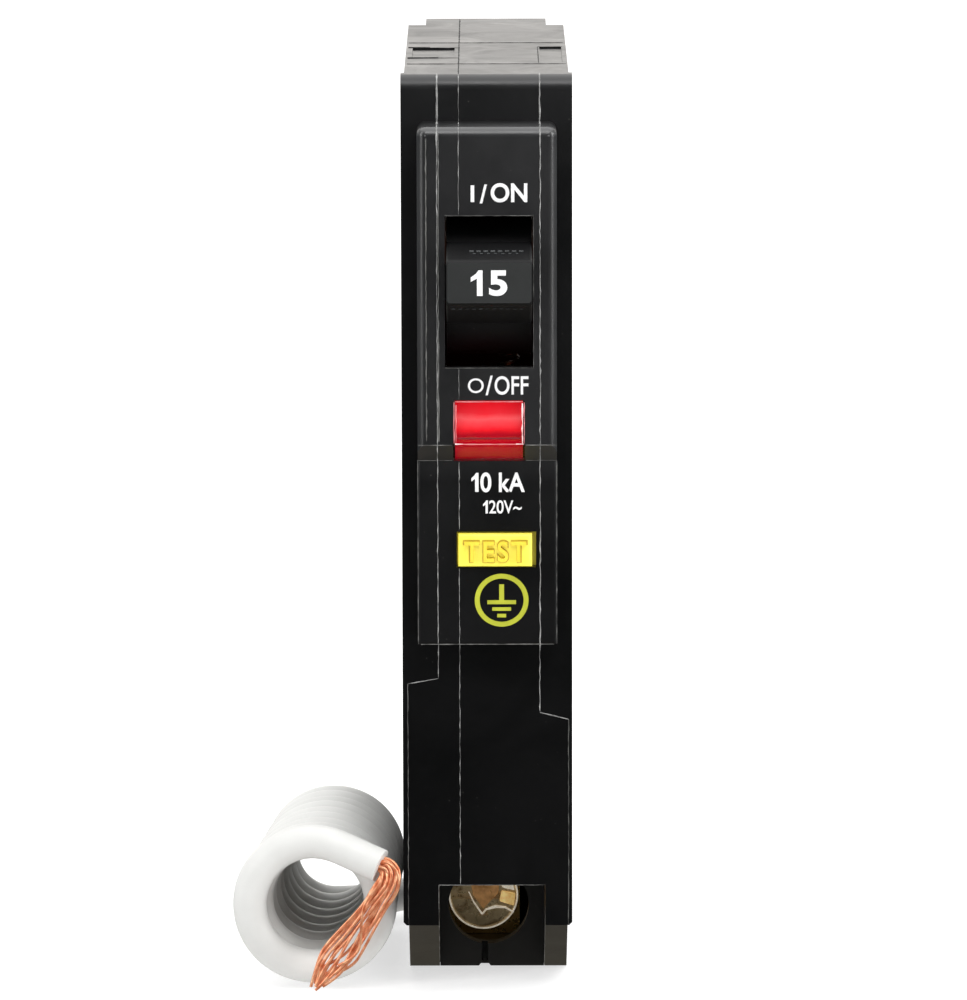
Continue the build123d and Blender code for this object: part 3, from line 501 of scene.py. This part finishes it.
def strand_lines():
    """A round bundle that leaves the cut end, fans out flat with a few crossings, and closes again."""
    lines = []
    for k in range(STRANDS):
        rank = -1.0 + 2.0 * k / (STRANDS - 1)
        phase, wave = rng.uniform(0, 2 * math.pi), rng.uniform(0.12, 0.34)
        short = k in (0, 1, 3, 6)
        pts = []
        for j in range(len(BUNDLE) - (1 if short else 0)):
            centre, w, d = BUNDLE[j]
            ahead, behind = BUNDLE[min(j + 1, len(BUNDLE) - 1)][0], BUNDLE[max(j - 1, 0)][0]
            along = Vector((ahead[0] - behind[0], 0, ahead[2] - behind[2])).normalized()
            across = Vector((along.z, 0, -along.x))
            side = rank + wave * math.sin(phase + 1.3 * j)
            deep = math.cos(2.4 * k + 0.55 * j) * math.sqrt(max(0.05, 1.0 - 0.6 * rank * rank))
            pts.append(Vector(centre) + across * (w * side) + Vector((0, d * deep, 0)))
        if short:
            pts[-1] += Vector((-0.9, 0.0, 0.5)) * rng.uniform(0.6, 1.0)
        else:
            pts[-1] += Vector((-0.45, 0.0, -0.55)) * rng.uniform(-0.6, 0.7)
        for p in pts:
            p.z = max(p.z, 0.4)
        lines.append(pts)
    return lines + [[Vector(p) for p in STRAY]]


strands = tube_curve("pigtail_strand_wires", strand_lines(), STRAND_R, M["copper"], resolution=3,
                     kind="NURBS")
strands.data.resolution_u = 6
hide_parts("pigtail_strands")
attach(strands, "case")


# ---- lettering ----------------------------------------------------------------------------------
def lettering(name, words, x0, x1, z0, z1, y, material, body, thick=0.03, bold=0.0, spacing=1.0, lean=0.0):
    """Words as a mesh, fitted into a box on a plane that faces -Y; lean, in degrees, turns it to face upwards."""
    c = bpy.data.curves.new(name + "_outline", "FONT")
    c.body = words
    c.offset = bold
    c.space_character = spacing
    c.extrude = 0.5
    c.resolution_u = 6
    outline = bpy.data.objects.new(name + "_outline", c)
    scene.collection.objects.link(outline)
    bpy.context.view_layer.update()
    me = bpy.data.meshes.new_from_object(outline.evaluated_get(bpy.context.evaluated_depsgraph_get()))
    bpy.data.objects.remove(outline)
    me.name = name
    xs = [v.co.x for v in me.vertices]
    ys = [v.co.y for v in me.vertices]
    centre = Matrix.Translation((-(max(xs) + min(xs)) / 2, -(max(ys) + min(ys)) / 2, 0.5))
    wide, tall = (x1 - x0) / (max(xs) - min(xs)), (z1 - z0) / (max(ys) - min(ys))
    fit = Matrix.Diagonal((wide * MM, tall * MM, thick * MM, 1.0))
    stand = Matrix.Rotation(math.radians(90 - lean), 4, "X")
    place = Matrix.Translation(((x0 + x1) / 2 * MM, y * MM, (z0 + z1) / 2 * MM))
    me.transform(place @ stand @ fit @ centre)
    return add_piece(name, me, material, body)


PRINT_SUNK = 0.005
for name, words, x0, x1, z0, z1, y, bold in (
        ("print_on_bar", "I", -1.75, -1.35, 91.25, 93.1, UPPER_Y, 0.0),
        ("print_on_slash", "/", -0.75, 0.05, 91.1, 93.2, UPPER_Y, 0.02),
        ("print_on", "ON", 0.45, 4.5, 91.2, 93.35, UPPER_Y, 0.025),
        ("print_off_ring", "O", -2.1, -0.35, 69.95, 71.6, UPPER_Y, 0.0),
        ("print_off_slash", "/", -0.15, 0.65, 69.7, 71.9, UPPER_Y, 0.01),
        ("print_off", "OFF", 0.85, 4.6, 69.75, 71.85, UPPER_Y, 0.012),
        ("print_rating", "0 kA", -0.75, 4.2, 58.5, 60.75, LOWER_Y, 0.02),
        ("print_volts", "20V~", 0.22, 3.85, 56.1, 57.6, LOWER_Y, 0.012)):
    lettering(name, words, x0, x1, z0, z1, y + PRINT_SUNK, M["print"], "case", bold=bold)

# ---- earth symbol in a ring, on the lower face --------------------------------------------------
SIGN = Vector((1.6, LOWER_Y - 0.012, 46.3))
SIGN_R, SIGN_LINE, RING_STEPS = 3.0, 0.55, 64


def flat_band(name, quads, material, body, thick=0.025):
    """Thin raised print made of quads (four x, z corners each) on the plane y of SIGN."""
    verts, faces = [], []
    for q in quads:
        b = len(verts)
        verts += [(x * MM, SIGN.y * MM, z * MM) for x, z in q]
        verts += [(x * MM, (SIGN.y + thick) * MM, z * MM) for x, z in q]
        faces += [(b, b + 1, b + 2, b + 3), (b + 7, b + 6, b + 5, b + 4)]
        faces += [(b + i, b + 4 + i, b + 4 + (i + 1) % 4, b + (i + 1) % 4) for i in range(4)]
    me = bpy.data.meshes.new(name)
    me.from_pydata(verts, [], faces)
    add_piece(name, me, material, body)


ring_quads = []
for i in range(RING_STEPS):
    a, b = 2 * math.pi * i / RING_STEPS, 2 * math.pi * (i + 1) / RING_STEPS
    ring_quads.append([(SIGN.x + r * math.cos(t), SIGN.z + r * math.sin(t))
                       for r,
                       t in ((SIGN_R, a), (SIGN_R, b), (SIGN_R - SIGN_LINE, b), (SIGN_R - SIGN_LINE, a))])


def bar(x0, x1, z0, z1):
    return [(SIGN.x + x, SIGN.z + z) for x, z in ((x0, z0), (x1, z0), (x1, z1), (x0, z1))]


sign_quads = ring_quads + [bar(-0.27, 0.27, 0.0, 1.8), bar(-1.6, 1.6, -0.45, 0.0),
                           bar(-1.05, 1.05, -1.2, -0.8),
                           bar(-0.5, 0.5, -1.95, -1.55)]
flat_band("print_earth_sign", sign_quads, M["mark"], "case")


def numeral_one(name, x0, x1, z0, z1, y, material, body, thick=0.03, lean=0.0):
    """The figure 1 with its flag, in a box on a plane that faces -Y."""
    outline = [(0.52, 0.0), (1.0, 0.0), (1.0, 1.0), (0.66, 1.0), (0.42, 0.86), (0.0, 0.72), (0.0, 0.55),
               (0.52, 0.68)]
    verts = [Vector((u - 0.5, v - 0.5, d)) for d in (0.0, 1.0) for u, v in outline]
    count = len(outline)
    faces = [tuple(range(count, 2 * count)), tuple(reversed(range(count)))]
    faces += [(i, (i + 1) % count, count + (i + 1) % count, count + i) for i in range(count)]
    me = bpy.data.meshes.new(name)
    me.from_pydata(verts, [], faces)
    fit = Matrix.Diagonal(((x1 - x0) * MM, (z1 - z0) * MM, thick * MM, 1.0))
    stand = Matrix.Rotation(math.radians(90 - lean), 4, "X")
    me.transform(Matrix.Translation(((x0 + x1) / 2 * MM, y * MM, (z0 + z1) / 2 * MM)) @ stand @ fit)
    add_piece(name, me, material, body)


# ---- handle number and button letters -----------------------------------------------------------
def handle_point(r, half):
    """Point at distance r along the handle's tilted axis and half above it, as (y, z)."""
    t = math.radians(HANDLE_TILT)
    return (PIVOT_Y - r * math.cos(t) + half * math.sin(t), PIVOT_Z + r * math.sin(t) + half * math.cos(t))


NUMBER_PROUD, NUMBER_HALF = 0.03, 1.4
tip_y, tip_z = handle_point(HANDLE_TIP_R + NUMBER_PROUD, 0.0)
lettering("print_handle_number", "5", 0.25, 2.25, tip_z - NUMBER_HALF, tip_z + NUMBER_HALF, tip_y, M["print"],
          "handle_body", bold=0.035, lean=HANDLE_TILT)
numeral_one("print_handle_one", -1.75, -0.45, tip_z - NUMBER_HALF, tip_z + NUMBER_HALF, tip_y, M["print"],
            "handle_body", lean=HANDLE_TILT)
numeral_one("print_rating_one", -1.75, -0.95, 58.55, 60.7, LOWER_Y + PRINT_SUNK, M["print"], "case")
numeral_one("print_volts_one", -0.45, 0.08, 56.12, 57.58, LOWER_Y + PRINT_SUNK, M["print"], "case")


PLATE_BACK, PLATE_PROUD = 0.14, 0.012


def handle_plate():
    """Matt face of the handle tip: a thin plate with softly rounded corners."""
    outline, x0, x1, half, corner = [], -4.32, 4.87, 2.2, 0.3
    for cx, cz, start in ((x1 - corner, half - corner, 0), (x0 + corner, half - corner, 90),
                          (x0 + corner, corner - half, 180), (x1 - corner, corner - half, 270)):
        for step in range(5):
            a = math.radians(start + 22.5 * step)
            outline.append((cx + corner * math.cos(a), cz + corner * math.sin(a)))
    verts = []
    for r in (HANDLE_TIP_R - PLATE_BACK, HANDLE_TIP_R + PLATE_PROUD):
        verts += [(x * MM, handle_point(r, z)[0] * MM, handle_point(r, z)[1] * MM) for x, z in outline]
    count = len(outline)
    faces = [tuple(reversed(range(count))), tuple(range(count, 2 * count))]
    faces += [(i, (i + 1) % count, count + (i + 1) % count, count + i) for i in range(count)]
    me = bpy.data.meshes.new("handle_face")
    me.from_pydata(verts, [], faces)
    add_piece("handle_face", me, M["handle_face"], "handle_body")


handle_plate()


def flank_ribs(name, r, half, xs, length, material, depth):
    """Short raised grip marks across a flank of the handle."""
    y, z = handle_point(r, half)
    lines = [[(x, y, z), (x + length, y, z)] for x in xs]
    o = tube_curve(name, lines, depth, material, resolution=2)
    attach(o, "handle_body")


flank_ribs("handle_grip_upper", 12.1, 3.42, [-1.9 + 0.78 * i for i in range(8)], 0.48, M["grip"], 0.17)
flank_ribs("handle_grip_upper_fine", 13.0, 3.2, [-1.5 + 0.78 * i for i in range(7)], 0.3, M["grip"], 0.09)
flank_ribs("handle_grip_lower", 14.6, -2.82, [-3.9 + 0.75 * i for i in range(11)], 0.45, M["grip"], 0.06)

# raised letters on the button, in a darker yellow as painted shade; the darker outlines stand for the shade around
# them
lettering("button_letter_outlines", "TEST", -2.72, 4.52, 50.6, 53.25, BUTTON_Y - 0.012, M["yellow_shadow"],
          "button_body", thick=0.02, bold=0.045, spacing=1.2)
letters = lettering("button_letters", "TEST", -2.55, 4.35, 50.75, 53.1, BUTTON_Y - 0.16, M["yellow_letter"],
                    "button_body", thick=0.3, bold=0.02, spacing=1.2)
round_over = letters.modifiers.new("round_over", "BEVEL")
round_over.width = 0.07 * MM
round_over.segments = 2
round_over.angle_limit = math.radians(60)


# ---- moulding flash along the seams -------------------------------------------------------------
def arc(cy, cz, r, steps=6):
    """Quarter round from straight up to straight forward, as (y, z)."""
    return [(cy - r * math.sin(math.pi / 2 * i / steps), cz + r * math.cos(math.pi / 2 * i / steps))
            for i in range(steps + 1)]


def profile(z_from, z_to):
    """Front outline from the line end down, as (y, z), between two heights."""
    pts = (arc(SHOULDER_Y + 1.5, TOP_Z - 1.5, 1.5) + [(SHOULDER_Y, BLOCK_TOP_Z)]
           + arc(UPPER_Y + 1.0, BLOCK_TOP_Z - 1.0, 1.0)
           + [(UPPER_Y, STEP_Z), (LOWER_Y, RAMP_Z), (LOWER_Y, BLOCK_END_Z), (SHOULDER_Y, BLOCK_END_Z),
              (SHOULDER_Y, 8.2)])
    out = []
    for (y0, z0), (y1, z1) in zip(pts, pts[1:]):
        if z1 > z_from or z0 < z_to:
            continue
        ta = 0.0 if z0 <= z_from or z0 == z1 else (z0 - z_from) / (z0 - z1)
        tb = 1.0 if z1 >= z_to or z0 == z1 else (z0 - z_to) / (z0 - z1)
        a = (y0 + (y1 - y0) * ta, z0 + (z1 - z0) * ta)
        b = (y0 + (y1 - y0) * tb, z0 + (z1 - z0) * tb)
        if not out or out[-1] != a:
            out.append(a)
        out.append(b)
    return out


def ragged(points, step=0.55, wander=0.035, low=0.25, high=1.0):
    """Resamples a line in millimetres with a little sideways wander and an uneven thickness."""
    pts, radii = [], []
    for a, b in zip(points, points[1:]):
        a, b = Vector(a), Vector(b)
        count = max(1, int((b - a).length / step))
        for i in range(count):
            p = a.lerp(b, i / count)
            if i:
                p.x += rng.uniform(-wander, wander)
            pts.append(p)
            radii.append(rng.uniform(low, high))
    pts.append(Vector(points[-1]))
    radii.append(low)
    return pts, radii


def flash_line(name, pieces_mm, depth, material, low=0.25, high=1.0, wander=0.035):
    lines, radii = [], []
    for piece in pieces_mm:
        p, r = ragged(piece, low=low, high=high, wander=wander)
        lines.append(p)
        radii.append(r)
    o = tube_curve(name, lines, depth, material, radii=radii, resolution=1)
    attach(o, "case")


def seam(x, spans):
    return [[(x, y, z) for y, z in profile(a, b)] for a, b in spans]


PLATE_X0, PLATE_X1, PLATE_LOW_Z = -8.95, 9.12, 8.3
LEFT_TIE_Z, RIGHT_TIE_Z = 36.0, 31.9
LEFT_TIE = [[(SEAM_LEFT, SHOULDER_Y, 36.6), (PLATE_X0, SHOULDER_Y, LEFT_TIE_Z)]]
RIGHT_TIE = [[(SEAM_RIGHT, SHOULDER_Y, 32.7), (PLATE_X1, SHOULDER_Y, RIGHT_TIE_Z)]]
flash_line("flash_left_end", seam(SEAM_LEFT, [(104.7, 97.5)]), 0.14, M["flash"], low=0.5)
flash_line("flash_left", seam(SEAM_LEFT, [(97.5, 36.7)]) + LEFT_TIE, 0.07, M["flash"], low=0.3)
flash_line("flash_left_glow", seam(SEAM_LEFT + 0.16, [(98.8, 64.5)]), 0.09, M["edge_wear"], low=0.5)
flash_line("flash_left_plate", [[(PLATE_X0, SHOULDER_Y, LEFT_TIE_Z), (PLATE_X0, SHOULDER_Y, PLATE_LOW_Z)]],
           0.05, M["edge_wear"])
flash_line("flash_mid", seam(SEAM_MID, [(104.7, 89.8), (72.6, 69.2), (61.9, 54.2), (49.9, 12.9)]), 0.065,
           M["flash"], low=0.1, high=0.85)
flash_line("flash_right_end", seam(SEAM_RIGHT, [(104.7, 98.6)]), 0.12, M["flash"], low=0.5)
flash_line("flash_right", seam(SEAM_RIGHT, [(98.6, 32.8)]) + RIGHT_TIE, 0.085, M["flash"], low=0.35,
           wander=0.05)
flash_line("flash_right_plate", [[(PLATE_X1, SHOULDER_Y, RIGHT_TIE_Z), (PLATE_X1, SHOULDER_Y, PLATE_LOW_Z)]],
           0.05, M["edge_wear"])

# painted highlights: pale cords along the edges of the raised block, the openings and the recess, where light
# lines lie on those edges. They follow light lines in the reference; whether those are wear or only light on
# an edge can't be told.
X0, X1 = -7.7, 7.75
HANDLE_X0, HANDLE_X1, HANDLE_Z0, HANDLE_Z1 = -4.63, 5.17, 72.75, 89.72
LENS_X0, LENS_X1 = -3.75, 4.2
LEFT_END, RIGHT_END = LENS_X0 - 0.1, LENS_X1 + 0.1
flash_line("highlight_step", [[(X0, UPPER_Y, STEP_Z), (LEFT_END, UPPER_Y, STEP_Z)],
                         [(RIGHT_END, UPPER_Y, STEP_Z), (X1, UPPER_Y, STEP_Z)],
                         [(X0, LOWER_Y, RAMP_Z), (LEFT_END, LOWER_Y, RAMP_Z)],
                         [(RIGHT_END, LOWER_Y, RAMP_Z), (X1, LOWER_Y, RAMP_Z)],
                         [(X0 + 0.3, LOWER_Y, BLOCK_END_Z), (X1 - 0.3, LOWER_Y, BLOCK_END_Z)]],
           0.07, M["edge_wear"], low=0.3, wander=0.0)
flash_line("highlight_block", [[(X0, LOWER_Y + 0.1, RAMP_Z), (X0, LOWER_Y + 0.1, BLOCK_END_Z)],
                          [(X1, LOWER_Y + 0.1, RAMP_Z), (X1, LOWER_Y + 0.1, BLOCK_END_Z)]],
           0.06, M["edge_wear"], low=0.2, wander=0.0)
flash_line("highlight_block_sides", [[(X0 + 0.05, UPPER_Y + 0.95, 98.5), (X0 + 0.05, UPPER_Y + 0.95, 64.4)],
                                [(X1 - 0.05, UPPER_Y + 0.95, 98.3), (X1 - 0.05, UPPER_Y + 0.95, 64.4)]],
           0.055, M["edge_wear"], low=0.3, wander=0.0)
flash_line("highlight_block_left", [[(X0 + 1.0, UPPER_Y, 98.3), (X0 + 1.0, UPPER_Y, 64.6)]], 0.085, M["edge_wear"],
           low=0.45, wander=0.03)
flash_line("highlight_handle_opening", [[(HANDLE_X0, UPPER_Y, HANDLE_Z1), (HANDLE_X1, UPPER_Y, HANDLE_Z1)],
                                   [(HANDLE_X1, UPPER_Y, HANDLE_Z1), (HANDLE_X1, UPPER_Y, HANDLE_Z0)],
                                   [(HANDLE_X0, UPPER_Y, HANDLE_Z0), (HANDLE_X1, UPPER_Y, HANDLE_Z0)]],
           0.05, M["edge_wear"], low=0.2, wander=0.0)
RECESS_X0, RECESS_X1, RECESS_TOP_Z, RECESS_BEND_Z = -5.53, 6.5, 12.85, 10.2
RECESS_FOOT = (-9.3, 0.1)
flash_line("highlight_recess", [[(RECESS_X0, SHOULDER_Y, RECESS_TOP_Z), (RECESS_X1, SHOULDER_Y, RECESS_TOP_Z)],
                           [(RECESS_X0, SHOULDER_Y, RECESS_TOP_Z), (RECESS_X0, SHOULDER_Y, RECESS_BEND_Z)],
                           [(RECESS_X0, SHOULDER_Y, RECESS_BEND_Z), (RECESS_X0, *RECESS_FOOT)],
                           [(RECESS_X1, SHOULDER_Y, RECESS_BEND_Z), (RECESS_X1, *RECESS_FOOT)]],
           0.06, M["edge_wear"], low=0.2, wander=0.0)

# joint lines of the line end: thin dark cords on the surface, which stand for narrow gaps
END_LINES = [[(-8.9, 10.1), (8.9, 10.1)], [(-8.9, -12.4), (9.0, -12.4)], [(-8.4, 4.6), (SEAM_MID, 4.6)],
             [(-8.4, -6.1), (SEAM_MID, -6.1)], [(5.9, 5.7), (8.7, 5.7)], [(5.9, 5.7), (5.9, -11.0)]]
flash_line("joint_lines_end", [[(x0, y0, TOP_Z), (x1, y1, TOP_Z)] for (x0, y0), (x1, y1) in END_LINES],
           0.07, M["gap"], low=0.5, wander=0.0)
flash_line("joint_gap_end",
           [[(-8.9, 5.0, TOP_Z), (-6.4, 4.7, TOP_Z)], [(-8.9, -6.3, TOP_Z), (-5.4, -6.1, TOP_Z)]],
           0.13, M["gap"], low=0.8, wander=0.0)
flash_line("joint_mid_end", [[(SEAM_MID, SHOULDER_Y + 1.5, TOP_Z), (SEAM_MID, 36.8, TOP_Z)]], 0.09, M["gap"],
           low=0.4, wander=0.02)

# sides and step of the clear window: pale cords on its front as painted highlights on its side walls and step, and
# a deep red one that stands for the shade under the step
LENS_LINE_Y = UPPER_Y - 0.01
flash_line("window_edges", [[(LENS_X1 - 0.28, LENS_LINE_Y, 68.8), (LENS_X1 - 0.28, LENS_LINE_Y, 64.3)],
                            [(LENS_X0 + 0.2, LENS_LINE_Y, 64.22), (LENS_X0 + 1.1, LENS_LINE_Y, 64.22)],
                            [(LENS_X1 - 1.0, LENS_LINE_Y, 64.22), (LENS_X1 - 0.1, LENS_LINE_Y, 64.22)]],
           0.13, M["lens_edge"], low=0.25, wander=0.05)
flash_line("window_edges_dim", [[(LENS_X0 + 0.32, LENS_LINE_Y, 68.6), (LENS_X0 + 0.32, LENS_LINE_Y, 64.3)],
                                [(LENS_X0 + 0.1, LENS_LINE_Y, 68.9), (LENS_X0 + 0.1, LENS_LINE_Y, 64.3)],
                                [(LENS_X1 - 0.08, LENS_LINE_Y, 68.9), (LENS_X1 - 0.08, LENS_LINE_Y, 64.3)],
                                [(LENS_X0 + 0.2, LENS_LINE_Y, 68.97), (LENS_X1 - 0.2, LENS_LINE_Y, 68.97)],
                                [(LENS_X0 + 1.1, LENS_LINE_Y, 64.2), (LENS_X1 - 1.0, LENS_LINE_Y, 64.2)]],
           0.08, M["frost_dim"], low=0.4, wander=0.03)
flash_line("window_shadow", [[(LENS_X0 + 0.45, LENS_LINE_Y, 64.85), (LENS_X1 - 0.45, LENS_LINE_Y, 64.85)]],
           0.13, M["deep_red"], low=0.7, wander=0.0)

# ---- load screw: rim, V-shaped ridge and facets of the head, guessed from bright shapes in a small hole; rim, ridge and light facet are painted highlights ----
SCREW_RIM_R = 3.92
rim_line = [(SCREW_X + SCREW_RIM_R * math.cos(math.radians(a)), SCREW_FACE_Y - 0.02,
             SCREW_Z + SCREW_RIM_R * math.sin(math.radians(a))) for a in range(0, 361, 6)]
painted_rim_highlight = tube_curve("screw_rim_painted_highlight", [rim_line], 0.10, M["bright"], resolution=2)
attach(painted_rim_highlight, "screw_body")
ridge = [[(-2.2, SCREW_FACE_Y - 0.05, 7.6), (-1.64, SCREW_FACE_Y - 0.05, 6.4),
          (-0.65, SCREW_FACE_Y - 0.08, 4.95)],
         [(-0.65, SCREW_FACE_Y - 0.08, 4.95), (-0.2, SCREW_FACE_Y - 0.08, 5.5),
          (0.9, SCREW_FACE_Y - 0.08, 5.85),
          (2.0, SCREW_FACE_Y - 0.06, 5.75), (3.0, SCREW_FACE_Y - 0.04, 5.15)]]
ridge_radii = [[0.5, 0.8, 1.0], [1.0, 1.1, 1.7, 1.2, 0.7]]
painted_ridge_highlight = tube_curve("screw_ridge_painted_highlight", ridge, 0.11, M["bright"], radii=ridge_radii, resolution=2)
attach(painted_ridge_highlight, "screw_body")


def facet(name, corners_mm, proud, material, body):
    """Raised facet of the head: a plate with bevelled edges, proud of the face."""
    bm = bmesh.new()
    front = [bm.verts.new((x * MM, (SCREW_FACE_Y - proud) * MM, z * MM)) for x, z in corners_mm]
    back = [bm.verts.new((x * MM, (SCREW_FACE_Y + 0.2) * MM, z * MM)) for x, z in corners_mm]
    bm.faces.new(front)
    bm.faces.new(list(reversed(back)))
    for i in range(len(front)):
        j = (i + 1) % len(front)
        bm.faces.new((front[j], front[i], back[i], back[j]))
    bmesh.ops.recalc_face_normals(bm, faces=bm.faces)
    me = bpy.data.meshes.new(name)
    bm.to_mesh(me)
    bm.free()
    soft = add_piece(name, me, material, body).modifiers.new("soft_edges", "BEVEL")
    soft.width = 0.12 * MM
    soft.segments = 2


facet("screw_facet_copper", [(-2.0, 8.9), (1.4, 8.9), (1.2, 7.4), (-0.55, 5.6), (-1.7, 7.2)], 0.16,
      M["copper_facet"], "screw_body")
facet("screw_facet_brass", [(1.6, 7.75), (3.2, 7.4), (3.0, 5.95), (1.35, 6.5)], 0.3, M["brass_facet"],
      "screw_body")
# the light facet is a painted highlight plate
facet("screw_facet_painted_highlight", [(1.5, 8.6), (2.9, 8.5), (3.1, 7.75), (1.7, 8.1)], 0.24, M["bright"],
      "screw_body")

# ---- floor and light ----------------------------------------------------------------------------
floor_mesh = bpy.data.meshes.new("floor")
floor_mesh.from_pydata([(-3, -2, 0), (3, -2, 0), (3, 6, 0), (-3, 6, 0)], [], [(0, 1, 2, 3)])
# the floor glows, so that it reads as plain white; it isn't a measured light set-up
floor_mat = surface("floor_white", (0.42, 0.42, 0.42), (0.44, 0.44, 0.44), 0.75, 0.85, 3.0, 200.0,
                    glow=(1.0, 1.0, 1.0, 0.62))
floor = add_piece("floor", floor_mesh, floor_mat)
floor.visible_glossy = False


def area(name, at, target, size, power, size_y=None, color=(1, 1, 1)):
    d = bpy.data.lights.new(name, "AREA")
    d.energy = power
    d.color = color
    d.shape = "RECTANGLE"
    d.size = size
    d.size_y = size_y or size
    o = bpy.data.objects.new(name, d)
    scene.collection.objects.link(o)
    o.location = at
    o.rotation_euler = (Vector(target) - Vector(at)).to_track_quat("-Z", "Y").to_euler()


area("top_soft", (0.0, 0.15, 1.3), (0, 0.05, 0.0), 2.4, 30.0)
area("back_panel", (0.0, 1.9, 0.62), (0, 0.0, 0.10), 2.6, 7.0, 0.7, color=(1.0, 0.95, 0.88))
area("left_strip", (-0.95, -0.55, 0.40), (0, -0.02, 0.05), 0.22, 4.6, 0.9)
area("right_strip", (0.95, -0.50, 0.40), (0, -0.02, 0.05), 0.22, 5.5, 0.9)
area("front_high", (0.15, -0.80, 0.95), (0, -0.02, 0.04), 0.45, 4.0)
area("right_glint", (0.92, -0.20, 0.40), (0.007, -0.03, 0.098), 0.10, 1.6, 0.25)

world = bpy.data.worlds.new("studio")
scene.world = world
world.use_nodes = True
wn, wl = world.node_tree.nodes, world.node_tree.links
wn.clear()
w_out = wn.new("ShaderNodeOutputWorld")
bg = wn.new("ShaderNodeBackground")
sep = wn.new("ShaderNodeSeparateXYZ")
wl.new(wn.new("ShaderNodeTexCoord").outputs["Generated"], sep.inputs[0])
# darker towards the front and below, so that the black face stays black; pale above, beside and behind
front = ramp(wn, wl, maths(wn, wl, "ADD", maths(wn, wl, "MULTIPLY", sep.outputs["Y"], 0.5), 0.5),
             [(0.10, grey(0.07)), (0.45, grey(0.75))])
below = ramp(wn, wl, maths(wn, wl, "ADD", maths(wn, wl, "MULTIPLY", sep.outputs["Z"], 0.5), 0.5),
             [(0.0, (0.46, 0.41, 0.31)), (0.28, (0.34, 0.31, 0.24)), (0.385, grey(0.02)),
              (0.44, (0.12, 0.135, 0.14)),
              (0.48, (0.36, 0.4, 0.42)), (0.56, grey(1.0))])
sky = wn.new("ShaderNodeMix")
sky.data_type = "RGBA"
sky.blend_type = "MULTIPLY"
sky.inputs["Factor"].default_value = 1.0
wl.new(front, sky.inputs["A"])
wl.new(below, sky.inputs["B"])
wl.new(sky.outputs["Result"], bg.inputs["Color"])
bg.inputs["Strength"].default_value = 0.9
wl.new(bg.outputs[0], w_out.inputs["Surface"])
scene.view_settings.view_transform = "Standard"
